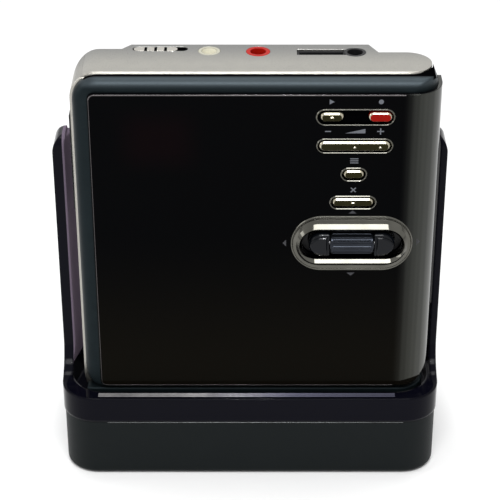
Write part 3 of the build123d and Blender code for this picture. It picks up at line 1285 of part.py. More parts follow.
def make_main_board():
    """Main circuit board in the rear bulge, with its chips and a board connector."""
    z0, z1 = PLAYER_BASE + 5, PLAYER_TOP - JACK_LENGTH - 3.5
    y0, y1 = deep(BOARD_DEPTH), deep(BOARD_DEPTH + BOARD_THICK)
    board = block(BOARD_LEFT, BOARD_RIGHT, y0, y1, z0, z1)
    big, small = MAIN_CHIP, 0.75 * MAIN_CHIP
    left, right = BOARD_LEFT + big, BOARD_RIGHT - 1.1 * big
    middle = (left + right) / 2
    for x, z, size in ((left, z0 + big, big), (right, z0 + 1.5 * small, small), (middle, z1 - big, small)):
        board += block(x - size / 2, x + size / 2, y0 - CHIP_SEAT, y0, z - size / 2, z + size / 2)
    corners = [(x, z) for x in (BOARD_LEFT + 3, BOARD_RIGHT - 3) for z in (z0 + 3, z1 - 3)]
    for x, z in corners:
        board += block(x - 1.2, x + 1.2, y1, deep(INSIDE_BACK) - 0.02, z - 1.2, z + 1.2)
    return board


def make_battery_case():
    """Open bay round the battery, standing on the deck and closed by the rear door."""
    x0, x1 = BATTERY_LEFT - BATTERY_FIT, BATTERY_LEFT + BATTERY_WIDTH + BATTERY_FIT
    z0, z1 = BATTERY_LOW - BATTERY_FIT, BATTERY_TOP + BATTERY_FIT
    y0, y1 = deep(DECK_BACK), deep(INSIDE_BACK) - 0.15
    case = block(x0 - BAY_WALL, x1 + BAY_WALL, y0, y1, z0 - BAY_WALL, z1 + BAY_WALL)
    case -= block(x0, x1, y0 + 0.1, y1 + 1, z0, z1)
    return case


def battery_front():
    return DECK_BACK + 0.15


def make_battery():
    """Slim rechargeable cell with a raised contact at its lower end."""
    x = BATTERY_LEFT + BATTERY_WIDTH / 2
    y = deep(battery_front() + BATTERY_THICK / 2)
    cell = Pos(x, y) * RectangleRounded(BATTERY_WIDTH, BATTERY_THICK, 1.2)
    battery = plan_prism(cell, BATTERY_LOW, BATTERY_TOP)
    return battery - block(x - 3, x + 3, y - 1.5, y + 1.5, BATTERY_TOP - 0.6, BATTERY_TOP + 1)


def make_battery_contacts():
    """Leaf contacts at both ends of the bay."""
    x = BATTERY_LEFT + BATTERY_WIDTH / 2
    y = deep(battery_front() + BATTERY_THICK / 2)
    low = block(x - 2, x + 2, y - 1.5, y + 1.5, BATTERY_LOW - BATTERY_FIT, BATTERY_LOW - BATTERY_FIT + 0.15)
    top = block(x - 2, x + 2, y - 1.2, y + 1.2, BATTERY_TOP - 0.4, BATTERY_TOP + BATTERY_FIT)
    return low + top


def make_battery_door():
    """Rear door with a rounded hinge edge, two pivot pips and a finger groove."""
    y0, y1 = deep(BODY_BACK - DOOR_THICK), deep(BODY_BACK)
    door = block(DOOR_LEFT, DOOR_PIVOT_X, y0, y1, DOOR_LOW, DOOR_TOP)
    door += rod_z(DOOR_PIVOT_X, deep(DOOR_DEPTH), DOOR_LOW, DOOR_TOP, DOOR_THICK / 2)
    door += rod_z(DOOR_PIVOT_X, deep(DOOR_DEPTH), DOOR_LOW - DOOR_PIN_LENGTH, DOOR_TOP + DOOR_PIN_LENGTH,
                  DOOR_PIN)
    middle = (DOOR_LOW + DOOR_TOP) / 2
    for i in range(3):
        x = DOOR_LEFT + 2.0 + 1.2 * i
        door -= block(x - 0.3, x + 0.3, y1 - 0.3, y1 + 1, middle - 5, middle + 5)
    return door


def make_round_jack(x, depth, ring):
    """A 3.5 mm socket: square body under the wall and a round coloured ring through it."""
    y = deep(depth)
    low = INSIDE_TOP - JACK_LENGTH + SHELL_WALL
    half = JACK_BODY / 2
    front = y - half
    back = y + JACK_BACK
    jack = block(x - half, x + half, front, back, low, INSIDE_TOP - 0.02)
    jack += rod_z(x, y, INSIDE_TOP - SHELL_WALL / 2, PLAYER_TOP, ring)
    return jack - rod_z(x, y, low + 1.0, PLAYER_TOP + 1, JACK_BORE)


def make_phone_socket():
    """Headphone socket joined to the flat remote-control socket beside it."""
    y = deep(PHONE_DEPTH)
    socket = make_round_jack(PHONE_X, PHONE_DEPTH, PHONE_RING)
    low = INSIDE_TOP - REMOTE_LENGTH
    right = PHONE_X - JACK_BODY / 2
    shell_top = PLAYER_TOP - 0.4
    socket += block(REMOTE_LEFT - 0.8, right + 0.1, y - REMOTE_HALF - 0.8, y + REMOTE_HALF + 0.8,
                    low, INSIDE_TOP - 0.02)
    socket += block(REMOTE_LEFT, REMOTE_RIGHT, y - REMOTE_HALF, y + REMOTE_HALF, INSIDE_TOP - 0.1, shell_top)
    socket -= block(REMOTE_LEFT + 0.5, right + 0.2, y - REMOTE_HALF + 0.45, y + REMOTE_HALF - 0.45,
                    low + 1.0, PLAYER_TOP + 1)
    tongue = block(REMOTE_LEFT + 1.5, right - 0.8, y - 0.25, y + 0.25, low + 0.9, shell_top - 0.8)
    return socket + tongue


def make_hold_slider():
    """Small slider with three grooves, a stem and a keeper plate under the wall."""
    y = deep(HOLD_DEPTH)
    floor = PLAYER_TOP - HOLD_RECESS
    x = HOLD_X - HOLD_TRAVEL / 2
    width = HOLD_SLOT_WIDTH - 2 * SLIDER_GAP
    knob = plan_prism(Pos(x, y) * SlotOverall(HOLD_KNOB_LENGTH, width), floor + 0.05, PLAYER_TOP - 0.02)
    for i in range(3):
        groove = x + (i - 1) * 2.2
        knob -= block(groove - 0.3, groove + 0.3, y - 3, y + 3, PLAYER_TOP - HOLD_GROOVE, PLAYER_TOP + 1)
    knob += block(x - 1.5, x + 1.5, y - 0.5, y + 0.5, INSIDE_TOP - 0.3, floor + 0.1)
    back = min(y + 1.5, deep(INSIDE_BACK) - 0.1)
    return knob + block(x - 4, x + 4, y - 1.5, back, INSIDE_TOP - 0.7, INSIDE_TOP - 0.1)


def make_open_slider():
    """Ribbed latch slider on the left side, with a stem and a flat catch bar inside."""
    gap = SLIDER_GAP
    low = PLAYER_BASE + OPEN_LOW
    high = low + OPEN_LENGTH
    y = deep(OPEN_DEPTH)
    outer = BODY_LEFT - OPEN_PROUD
    seat = BODY_LEFT + OPEN_RECESS - gap
    slider = block(outer, seat, y - OPEN_HALF, y + OPEN_HALF, low, high)
    ends = [e for e in slider.edges() if abs(e.center().X - outer) < 0.01 and abs(e.tangent_at(0).Y) > 0.9]
    slider = chamfer(ends, 0.6)
    for i in range(OPEN_RIB_COUNT):
        z = low + 4.5 + i * OPEN_RIB_PITCH
        slider -= block(outer - 1, outer + OPEN_RIB_DEPTH, y - 3, y + 3, z, z + OPEN_RIB_PITCH * 0.45)
    middle = (low + high) / 2
    slider += block(seat - 0.1, INSIDE_LEFT + 0.1, y - 0.6, y + 0.6, middle - 2.9, middle + 2.9 - gap)
    return slider + block(INSIDE_LEFT + 0.1, INSIDE_LEFT + 0.6, y - 2.5, y + 0.6,
                          middle - 2.9, middle + 2.9 - gap)


def make_jog_slide_plate():
    """Frame round the yoke that lets the whole jog shift sideways behind the lid's wall."""
    front = LID_CAVITY + KEY_BACK_GAP
    ring = pill(KEY_X, JOG_Z, JOG_PLATE_LENGTH, JOG_PLATE_WIDTH)
    ring -= pill(KEY_X, JOG_Z, JOG_BLOCK_LENGTH + 2 * SLIDER_GAP, JOG_BLOCK_WIDTH + 2 * SLIDER_GAP)
    return front_prism(ring, deep(front), deep(front + JOG_PLATE_THICK))


def build_parts():
    """Every piece under the name a repairer would use for it."""
    body = make_body()
    keys = {name: (x, z, length, width) for name, x, z, length, width in key_list()}
    return {
        "dock_base": make_dock_base(),
        "dock_bottom_plate": make_dock_bottom_plate(),
        "dock_feet": make_dock_feet(),
        "dock_screws": make_dock_screws(),
        "dock_cradle": make_dock_cradle(),
        "dock_contact_block": make_dock_contact_block(),
        "dock_contact_pins": make_dock_contact_pins(),
        "dock_circuit_board": make_dock_circuit_board(),
        "dock_power_jack": make_dock_power_jack(),
        "rear_shell": make_rear_shell(body),
        "top_cap": make_top_cap(body),
        "lower_rail": make_lower_rail(),
        "chassis": make_chassis(),
        "case_screws": make_case_screws(),
        "main_board": make_main_board(),
        "battery_case": make_battery_case(),
        "battery": make_battery(),
        "battery_contacts": make_battery_contacts(),
        "battery_door": make_battery_door(),
        "charge_contacts": make_charge_contacts(),
        "line_in_jack": make_round_jack(LINE_IN_X, LINE_IN_DEPTH, LINE_IN_RING),
        "mic_jack": make_round_jack(MIC_X, MIC_DEPTH, MIC_RING),
        "phone_socket": make_phone_socket(),
        "hold_slider": make_hold_slider(),
        "open_slider": make_open_slider(),
        "hinge_pins": make_hinge_pins(),
        "spindle_motor": make_spindle_motor(),
        "turntable": make_turntable(),
        "guide_rods": make_guide_rods(),
        "lead_screw": make_lead_screw(),
        "sled_motor": make_sled_motor(),
        "optical_sled": make_optical_sled(),
        "objective_lens": make_objective_lens(),
        "disc_holder": make_disc_holder(),
        "holder_springs": make_holder_springs(),
        "lid_frame": make_lid_frame(),
        "front_panel": make_front_panel(),
        "lid_liner": make_lid_liner(),
        "lid_screws": make_lid_screws(),
        "display_module": make_display_module(),
        "key_board": make_key_board(),
        "key_bezels": make_key_bezels(),
        "play_button": make_key(*keys["play"]),
        "record_button": make_key(*keys["record"]),
        "volume_rocker": make_volume_rocker(),
        "menu_button": make_key(*keys["menu"]),
        "cancel_button": make_key(*keys["cancel"]),
        "jog_bezel": make_jog_bezel(),
        "jog_slide_plate": make_jog_slide_plate(),
        "jog_yoke": make_jog_yoke(),
        "jog_axle": make_jog_axle(),
        "jog_roller": make_jog_roller(),
    }


os.makedirs("parts", exist_ok=True)
for node, shape in build_parts().items():
    export_step(shape, f"parts/{node}.step")
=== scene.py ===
import json
import math

import bmesh
import bpy
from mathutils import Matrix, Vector


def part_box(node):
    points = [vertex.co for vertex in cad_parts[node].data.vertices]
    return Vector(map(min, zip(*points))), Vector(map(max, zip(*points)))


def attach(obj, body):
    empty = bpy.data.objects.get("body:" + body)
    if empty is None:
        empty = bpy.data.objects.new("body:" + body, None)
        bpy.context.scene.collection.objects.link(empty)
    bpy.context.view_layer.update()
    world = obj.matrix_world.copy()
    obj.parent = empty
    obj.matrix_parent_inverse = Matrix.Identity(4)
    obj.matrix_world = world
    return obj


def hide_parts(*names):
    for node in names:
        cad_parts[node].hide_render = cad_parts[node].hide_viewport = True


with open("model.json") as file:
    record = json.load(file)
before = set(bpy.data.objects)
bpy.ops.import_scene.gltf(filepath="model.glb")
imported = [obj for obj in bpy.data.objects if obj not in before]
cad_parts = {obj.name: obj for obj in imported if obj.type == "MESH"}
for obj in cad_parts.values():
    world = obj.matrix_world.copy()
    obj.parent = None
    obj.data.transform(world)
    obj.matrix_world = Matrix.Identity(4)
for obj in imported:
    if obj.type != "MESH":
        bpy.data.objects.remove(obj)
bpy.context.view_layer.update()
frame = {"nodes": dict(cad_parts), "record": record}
NODES = frame["nodes"]

# Sizes and places on the object are written in millimetres. The camera, the lamps and the floor are
# in metres, as the scene is
MM = 0.001

# Y of the front panel's face
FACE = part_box("front_panel")[0].y / MM
# X that the column of keys and their signs is centred on
KEY_X = 22.8
# Height of a printed sign over its face, and how far it goes below it
PRINT_HEIGHT = 0.015
PRINT_DEPTH = 0.02

# What all materials share
RELIEF_HEIGHT = 0.02
COAT_ROUGHNESS = 0.04
EDGE_SAMPLES = 6
# The mottling of a colour is this many times coarser than the grain of its gloss
MOTTLING = 14
# The middle values of a noise, which it seldom leaves
NOISE_MIDDLE = (0.3, 0.7)

# Node, body and slot of each key
KEYS = (
    ("play_button", "play", "silver_key"),
    ("record_button", "record", "red_key"),
    ("volume_rocker", "volume", "silver_key"),
    ("menu_button", "menu", "silver_key"),
    ("cancel_button", "cancel", "silver_key"),
)
# Rims of the key recesses: height above the table, length and width of each pill
KEY_RIMS = ((93.1, 17.2, 4.0), (86.2, 16.8, 3.7), (79.2, 5.9, 3.5), (72.2, 10.5, 3.5))

# Section of the jog's ring, from its outside to its slot: inset and rise over the panel's face
RING_SECTION = (
    (0.45, -0.9), (0.45, -0.01), (0.0, 0.0),
    # outer rim and groove
    (0.0, 0.12), (0.12, 0.26), (0.34, 0.33), (0.5, 0.27), (0.56, 0.2), (0.68, 0.2),
    # raised band up to its crest
    (0.76, 0.48), (1.2, 0.6), (1.68, 0.76), (1.74, 0.8), (2.58, 1.64), (2.64, 1.68),
    # dish down to the slot
    (2.7, 1.64), (3.38, 0.96), (3.44, 0.84), (3.46, -0.1), (3.46, -0.9),
)
# Steps of that section that make the outer rim
RING_RIM_STEPS = (2, 3, 4, 5)
# Inset at the ring's ends, as a share of the inset above and below
RING_END_SHARE = 0.694

# Camera, solved from the edges of the object in the photograph
CAMERA_PLACE = (0.0, -0.35904, 0.25803)
CAMERA_DOWN = 30.0
FOCAL_PIXELS = 1759.0
FRAME_PIXELS = 500
SENSOR = 36.0

# Lamps: name, place, target, size and power
LAMPS = (
    ("Key", (0.0, -0.50, 0.76), (0, 0, 0.06), (0.5, 0.26), 4.4),
    ("Left", (-0.75, -0.15, 0.45), (0, 0, 0.06), (0.3, 0.5), 1.5),
    ("Top", (0.0, 0.12, 0.85), (0, 0, 0.05), (0.5, 0.2), 2.5),
    ("Spark", (0.0, -0.46, 0.72), (0, 0, 0.06), (0.03, 0.03), 1.1),
)
WORLD_STRENGTH = 0.45
FLOOR_HALF = 3.0


# Materials

def linear(value):
    """One sRGB channel, 0 to 255, as a linear colour value."""
    c = value / 255
    return c / 12.92 if c <= 0.04045 else ((c + 0.055) / 1.055) ** 2.4


def rgb(red, green, blue):
    return (linear(red), linear(green), linear(blue), 1.0)


def new_material(name):
    """A new material, its node tree and the one shader in it."""
    material = bpy.data.materials.new(name)
    material.use_nodes = True
    tree = material.node_tree
    tree.nodes.clear()
    output = tree.nodes.new("ShaderNodeOutputMaterial")
    shader = tree.nodes.new("ShaderNodeBsdfPrincipled")
    tree.links.new(shader.outputs[0], output.inputs[0])
    return material, tree, shader


def give(tree, value, socket):
    """Sets an input to a plain value, or links it to another node's output."""
    if isinstance(value, bpy.types.NodeSocket):
        tree.links.new(value, socket)
    else:
        socket.default_value = value


def calculate(tree, operation, first, second):
    """A math node on two values or outputs."""
    node = tree.nodes.new("ShaderNodeMath")
    node.operation = operation
    give(tree, first, node.inputs[0])
    give(tree, second, node.inputs[1])
    return node.outputs[0]


def remap(tree, source, low, high, from_low=0.0, from_high=1.0, interpolation="LINEAR"):
    """Maps an output from one range to another, and holds it at the range's ends."""
    node = tree.nodes.new("ShaderNodeMapRange")
    node.interpolation_type = interpolation
    node.inputs["From Min"].default_value = from_low
    node.inputs["From Max"].default_value = from_high
    node.inputs["To Min"].default_value = low
    node.inputs["To Max"].default_value = high
    tree.links.new(source, node.inputs["Value"])
    return node.outputs[0]


def mix_colours(tree, first, second, factor):
    """The first colour at a factor of 0, and the second at 1."""
    node = tree.nodes.new("ShaderNodeMix")
    node.data_type = "RGBA"
    give(tree, first, node.inputs["A"])
    give(tree, second, node.inputs["B"])
    give(tree, factor, node.inputs["Factor"])
    return node.outputs["Result"]


def noise(tree, scale, detail=3.0, stretch=(1, 1, 1)):
    """Noise that is fixed to the object, with an optional stretch along an axis."""
    place = tree.nodes.new("ShaderNodeTexCoord")
    mapping = tree.nodes.new("ShaderNodeMapping")
    mapping.inputs["Scale"].default_value = stretch
    texture = tree.nodes.new("ShaderNodeTexNoise")
    texture.inputs["Scale"].default_value = scale
    texture.inputs["Detail"].default_value = detail
    texture.inputs["Roughness"].default_value = 0.5
    tree.links.new(place.outputs["Object"], mapping.inputs["Vector"])
    tree.links.new(mapping.outputs[0], texture.inputs["Vector"])
    return texture.outputs["Fac"]


def spread(tree, source, low, high):
    """Takes the middle values of a noise to a whole range."""
    return remap(tree, source, low, high, *NOISE_MIDDLE)


def ramp(tree, axis, low, high):
    """0 to 1 as a point of the object goes from low to high along an axis, in millimetres."""
    place = tree.nodes.new("ShaderNodeTexCoord")
    parts = tree.nodes.new("ShaderNodeSeparateXYZ")
    tree.links.new(place.outputs["Object"], parts.inputs[0])
    return remap(tree, parts.outputs[axis], 0.0, 1.0, low * MM, high * MM, "SMOOTHSTEP")


def zone(tree, *spans):
    """1 inside a block of the object and 0 outside it. Each span is an axis with its low and high,
    in millimetres or None where it has no end, and half the width of its soft edge, a tenth of a
    millimetre if it isn't given."""
    total = None
    for axis, low, high, *soft in spans:
        half = soft[0] if soft else 0.1
        sides = []
        if low is not None:
            sides.append(ramp(tree, axis, low - half, low + half))
        if high is not None:
            past = ramp(tree, axis, high - half, high + half)
            sides.append(calculate(tree, "SUBTRACT", 1.0, past))
        for side in sides:
            total = side if total is None else calculate(tree, "MULTIPLY", total, side)
    return total


def less(tree, value, inside):
    """A value or an output, taken to nothing where inside is 1."""
    return calculate(tree, "MULTIPLY", value, calculate(tree, "SUBTRACT", 1.0, inside))


def surface(name, colour, shade, rough, metallic=0.0, specular=0.5, grain=900.0,
            stretch=(1, 1, 1), relief=0.1, coat=0.0, edge=0.25, fade=None, inlays=(), gloss=None,
            tint=None, wide=None):
    """A material with mottled colour, uneven gloss, a fine relief and edges that are worn round.

    colour and shade are its lighter and darker tones, and rough its lowest and highest roughness.
    grain is the scale of its noise, and relief the strength of its bump.
    edge is the radius that its edges shade with, in millimetres.
    fade is (axis, low, high, colour): its colour goes to that one along the axis. The fades used
    here are painted shade on the silver, painted light on the slate and the lip strip, and a
    painted reflection on the panel.
    inlays are (colour, spans) pairs: a block with another colour, no metal and no specular. The
    display is the panel's own; the other inlays used here are painted shade, light or reflection.
    gloss is (axis, low, high, level): its specular rises along the axis, with streaks along Z.
    tint colours its reflections.
    wide is (axis, low, high, radius): the radius of its edges goes to that one along the axis."""
    material, tree, shader = new_material(name)
    fine = noise(tree, grain, stretch=stretch)
    broad = noise(tree, grain / MOTTLING)
    tone = mix_colours(tree, shade, colour, broad)
    metal, shine, radius = metallic, specular, edge * MM
    if fade:
        axis, low, high, other = fade
        tone = mix_colours(tree, tone, other, ramp(tree, axis, low, high))
    for other, spans in inlays:
        inside = zone(tree, *spans)
        tone = mix_colours(tree, tone, other, inside)
        shine = less(tree, shine, inside)
        if metallic:
            metal = less(tree, metal, inside)
    if gloss:
        axis, low, high, level = gloss
        lines = noise(tree, 900, detail=1.0, stretch=(1, 0.3, 0.004))
        streaks = spread(tree, lines, 0.55, 1.0)
        rise = calculate(tree, "MULTIPLY", ramp(tree, axis, low, high), streaks)
        shine = remap(tree, rise, specular, level)
    if wide:
        axis, low, high, widest = wide
        radius = remap(tree, ramp(tree, axis, low, high), edge * MM, widest * MM)
    if tint:
        shader.inputs["Specular Tint"].default_value = tint
    give(tree, tone, shader.inputs["Base Color"])
    give(tree, metal, shader.inputs["Metallic"])
    give(tree, shine, shader.inputs["Specular IOR Level"])
    give(tree, spread(tree, fine, *rough), shader.inputs["Roughness"])
    give(tree, coat, shader.inputs["Coat Weight"])
    shader.inputs["Coat Roughness"].default_value = COAT_ROUGHNESS
    worn = tree.nodes.new("ShaderNodeBevel")
    worn.samples = EDGE_SAMPLES
    give(tree, radius, worn.inputs["Radius"])
    bump = tree.nodes.new("ShaderNodeBump")
    bump.inputs["Strength"].default_value = relief
    bump.inputs["Distance"].default_value = RELIEF_HEIGHT * MM
    tree.links.new(fine, bump.inputs["Height"])
    tree.links.new(worn.outputs[0], bump.inputs["Normal"])
    tree.links.new(bump.outputs[0], shader.inputs["Normal"])
    return material


# Inlays: painted shade on the floor of the hold slider's slot and in the lid's seam round its
# panel, a painted shadow over the lid's top, the display that shows faintly through the panel, a
# painted reflection on the inside of the left wing, painted light in the ivory socket ring's bore,
# and painted shade in the slider's grooves
SLOT_PAINTED_SHADE = (rgb(8, 8, 9), (("X", -26.1, -13.6), ("Y", -0.95, 2.25), ("Z", 100.5, 101.6)))
# Painted shade: near black, without gloss, in the seam round the panel and the recesses behind it
PANEL_SEAM_PAINTED_SHADE = (rgb(3, 3, 4), (("X", -33.5, None), ("Z", 24.5, 97.5), ("Y", None, -13.5)))
# Painted shadow: a black line on the lid's top where it meets the silver
LID_TOP_PAINTED_SHADOW = (rgb(4, 4, 5), (("Y", -13.3, None, 0.3), ("Z", 100.6, None)))
DISPLAY = (rgb(8, 3, 5), (("X", -27.0, -13.0, 4.0), ("Z", 82.0, 93.0, 4.0)))
# Painted reflection: a mauve grey patch without gloss on the inside of the left wing
WING_INSIDE_PAINTED_REFLECTION = (rgb(108, 97, 112), (("X", -42.24, -39.5), ("Y", -11.0, 6.0), ("Z", 24.0, None)))
# Painted light: the ivory ring's bore is lighter than the ring, to cancel its shade
IVORY_BORE_PAINTED_LIGHT = (rgb(236, 233, 216), (("Z", None, 101.62),))
# Painted shade: near black in the slider's grooves
SLIDER_GROOVES_PAINTED_SHADE = (rgb(10, 10, 11), (("Z", None, 101.5, 0.05),))

MATERIALS = {
    # Housings
    # The fade darkens the silver towards the back: painted shade
    "silver_shell": surface(
        "Satin silver", rgb(178, 176, 168), rgb(168, 166, 160), (0.26, 0.38), metallic=1.0,
        grain=5000, relief=0.12, edge=0.3, wide=("Y", -10.6, -11.4, 1.2),
        fade=("Y", -8.0, 3.0, rgb(138, 138, 136)), inlays=(SLOT_PAINTED_SHADE,)),
    # The fade lightens the slate's top band: painted light
    "slate_metal": surface(
        "Slate metallic", rgb(25, 33, 36), rgb(18, 25, 28), (0.34, 0.48), metallic=0.5,
        specular=0.1, grain=6000, relief=0.22, edge=0.9,
        fade=("Z", 99.2, 100.5, rgb(50, 57, 61)), inlays=(PANEL_SEAM_PAINTED_SHADE, LID_TOP_PAINTED_SHADOW)),
    # The fade to brown towards the bottom is a painted reflection of the floor; the display inlay
    # is the panel's own
    "panel_gloss": surface(
        "Black gloss", rgb(3, 3, 5), rgb(2, 2, 3), (0.03, 0.06), specular=0.02, grain=300,
        relief=0.01, edge=0.3, gloss=("X", 33.0, 38.6, 0.62), tint=(0.86, 0.9, 0.8, 1.0),
        fade=("Z", 66.0, 26.0, rgb(12, 10, 7)), inlays=(DISPLAY,)),
    "dock_gloss": surface(
        "Blue-black gloss", rgb(8, 8, 18), rgb(6, 6, 13), (0.05, 0.09), specular=0.06, grain=300,
        relief=0.015, edge=0.8, inlays=(WING_INSIDE_PAINTED_REFLECTION,)),
    "dock_satin": surface(
        "Satin moulding", rgb(15, 20, 21), rgb(11, 16, 17), (0.42, 0.54), specular=0.10,
        grain=4200, relief=0.35, edge=0.3),
    "black_plastic": surface(
        "Black moulding", rgb(20, 20, 22), rgb(14, 14, 16), (0.42, 0.55), specular=0.3,
        grain=4000, relief=0.3),
    "foot_rubber": surface(
        "Rubber", rgb(24, 24, 25), rgb(18, 18, 19), (0.7, 0.85), grain=3000, relief=0.4),

    # Controls and trim
    # Its dark base stands in for the dark surroundings that bright chrome mirrors: painted dark
    # reflection
    "chrome_trim": surface(
        "Chrome with painted dark reflection", rgb(106, 105, 99), rgb(68, 67, 62), (0.06, 0.12), metallic=1.0,
        grain=2400, relief=0.03, edge=0.1),
    # Its dark olive base stands in for the dark surroundings that the polished keys mirror: painted
    # dark reflection
    "silver_key": surface(
        "Nickel with painted dark reflection", rgb(42, 40, 24), rgb(30, 28, 17), (0.10, 0.18), metallic=1.0,
        grain=4000, stretch=(0.15, 1, 1), relief=0.05, edge=0.1),
    "red_key": surface(
        "Red gloss", rgb(146, 19, 12), rgb(128, 15, 9), (0.14, 0.22), specular=0.03,
        grain=2500, relief=0.04, edge=0.1),
    # A lit copy of the keys' metal for their bevels and nibs, also on the red key: painted
    # highlight
    "bevel_bright": surface(
        "Painted highlight bevel", rgb(196, 190, 170), rgb(170, 164, 146), (0.08, 0.16), metallic=1.0,
        grain=3000, relief=0.03, edge=0.04),
    # Its base is darker than bright metal so that the rims' ends read dark: painted dark reflection
    "key_rim": surface(
        "Key rim", rgb(102, 101, 95), rgb(80, 79, 74), (0.08, 0.14), metallic=1.0,
        grain=2500, relief=0.02, edge=0.06),
    "roller_black": surface(
        "Roller black", rgb(48, 51, 57), rgb(32, 35, 41), (0.10, 0.18), metallic=0.8,
        specular=0.1, grain=3000, relief=0.06, edge=0.1),
    "yoke_black": surface(
        "Yoke black", rgb(12, 15, 20), rgb(8, 10, 14), (0.08, 0.15), metallic=0.2,
        specular=0.2, grain=3000, relief=0.05, edge=0.35),
    "hold_chrome": surface(
        "Slider chrome", rgb(205, 202, 194), rgb(186, 182, 174), (0.05, 0.10), metallic=1.0,
        grain=2500, relief=0.02, edge=0.15, inlays=(SLIDER_GROOVES_PAINTED_SHADE,)),
    "ivory_ring": surface(
        "Ivory ring", rgb(178, 176, 160), rgb(166, 164, 148), (0.25, 0.34), specular=0.2,
        grain=2500, relief=0.05, inlays=(IVORY_BORE_PAINTED_LIGHT,)),
    "red_ring": surface(
        "Red ring", rgb(170, 24, 12), rgb(154, 20, 10), (0.28, 0.38), specular=0.1,
        grain=2500, relief=0.05),

    # Signs, and fine lines that are painted highlights
    "mark_grey": surface(
        "Printed grey", rgb(98, 101, 108), rgb(88, 90, 96), (0.35, 0.5), specular=0.2,
        grain=5000, relief=0.05, edge=0.02),
    "mark_dim": surface(
        "Printed dim grey", rgb(58, 58, 62), rgb(50, 50, 54), (0.35, 0.5), specular=0.2,
        grain=5000, relief=0.05, edge=0.02),
    # Painted highlight of the lip's top edge; the fade dims it towards the right
    "lip_strip": surface(
        "Painted highlight strip", rgb(46, 45, 45), rgb(14, 14, 16), (0.12, 0.24), metallic=1.0,
        grain=3600, stretch=(1, 0.05, 0.05), relief=0.06, edge=0.03,
        fade=("X", -16.0, 12.0, rgb(18, 18, 23))),
    # Painted highlight: the glint on the base's top edge
    "base_line": surface(
        "Painted edge glint", rgb(34, 36, 36), rgb(6, 7, 7), (0.2, 0.34), metallic=0.8,
        grain=4200, stretch=(1, 0.2, 0.2), relief=0.2, edge=0.03),
    # Painted highlight: the light on the panel's edge
    "edge_line": surface(
        "Painted panel edge highlight", rgb(96, 92, 92), rgb(70, 68, 70), (0.1, 0.2), metallic=1.0,
        grain=1500, stretch=(1, 1, 0.2), relief=0.02, edge=0.05),

    # Inside
    "steel": surface(
        "Plated steel", rgb(158, 158, 160), rgb(140, 140, 143), (0.24, 0.36), metallic=1.0,
        grain=3000, stretch=(1, 1, 0.1), relief=0.08, edge=0.15),
    "gold_contact": surface(
        "Gold contact", rgb(202, 162, 82), rgb(186, 146, 70), (0.16, 0.26), metallic=1.0,
        grain=2500, relief=0.03, edge=0.1),
    "circuit_board": surface(
        "Board", rgb(28, 92, 54), rgb(20, 76, 44), (0.32, 0.44), grain=1800, relief=0.15),
    "battery_wrap": surface(
        "Battery sleeve", rgb(92, 104, 116), rgb(82, 94, 106), (0.28, 0.38), metallic=0.4,
        grain=2500, relief=0.05),
    "display_glass": surface(
        "Dark red filter", rgb(34, 6, 10), rgb(24, 4, 8), (0.06, 0.12), grain=700, relief=0.01),
    "lens_glass": surface(
        "Coated lens", rgb(96, 104, 160), rgb(70, 80, 140), (0.03, 0.07), metallic=0.3,
        grain=900, relief=0.0, coat=1.0),
}
# Nodes whose finish differs from that of their slot's other nodes
OWN_FINISH = {"jog_yoke": "yoke_black", "hold_slider": "hold_chrome"}


def dress_nodes():
    """Every node of the frame gets its own finish or that of its slot in the record."""
    for part in frame["record"]["subparts"]:
        node = NODES[part["node"]]
        material = MATERIALS[OWN_FINISH.get(part["node"], part["material_slot"])]
        if not node.data.materials:
            node.data.materials.append(material)
        for slot in node.material_slots:
            slot.material = material


# Shapes

def in_mm(box):
    """Low and high corners of a node's box, in millimetres."""
    low, high = box
    return low / MM, high / MM


def pill_of(box):
    """Middle X and Z, length and width of a node's box, seen from the front."""
    low, high = in_mm(box)
    return (low.x + high.x) / 2, (low.z + high.z) / 2, high.x - low.x, high.z - low.z


def pill_path(x, z, length, width, steps=18):
    """Outline of a pill seen from the front: (x, z) points, each with its outward direction."""
    half = width / 2
    reach = (length - width) / 2
    path = []
    for middle, start in ((x + reach, 90), (x - reach, -90)):
        for i in range(steps + 1):
            turn = math.radians(start - 180 * i / steps)
            out_x, out_z = math.cos(turn), math.sin(turn)
            path.append((middle + half * out_x, z + half * out_z, out_x, out_z))
    return path


def arc(x, z, radius, start, end, steps):
    """(x, z) points along an arc, with both its ends."""
    turns = [math.radians(start + (end - start) * i / steps) for i in range(steps + 1)]
    return [(x + radius * math.cos(turn), z + radius * math.sin(turn)) for turn in turns]


def loop_of(mesh, places):
    """New vertices at (x, y, z) places."""
    return [mesh.verts.new((x * MM, y * MM, z * MM)) for x, y, z in places]


def skin(mesh, loops, closed=False, second_finish=()):
    """Faces between neighbouring loops of vertices. Where it is closed, the last loop meets the
    first, as in a ring, and otherwise the first and the last loop are filled. The steps that
    second_finish names take the piece's second finish."""
    pairs = list(zip(loops, loops[1:]))
    if closed:
        pairs.append((loops[-1], loops[0]))
    else:
        mesh.faces.new(loops[0])
        mesh.faces.new(loops[-1])
    for step, (first, second) in enumerate(pairs):
        for i in range(len(first)):
            j = (i + 1) % len(first)
            side = mesh.faces.new((first[i], first[j], second[j], second[i]))
            side.material_index = 1 if step in second_finish else 0


def sweep(mesh, path, section, closed=False, second_finish=()):
    """A profile of (inset, y) points swept along an outline: a ring if closed, and a cap if not."""
    loops = []
    for inset, y in section:
        places = [(x - out_x * inset, y, z - out_z * inset) for x, z, out_x, out_z in path]
        loops.append(loop_of(mesh, places))
    skin(mesh, loops, closed, second_finish)


def bar(mesh, section, x_start, x_end):
    """A profile of (y, z) points drawn out along X."""
    skin(mesh, [loop_of(mesh, [(x, y, z) for y, z in section]) for x in (x_start, x_end)])


def face_depth(x, z):
    """Y of the flat part of the panel's face, wherever the point is."""
    return FACE


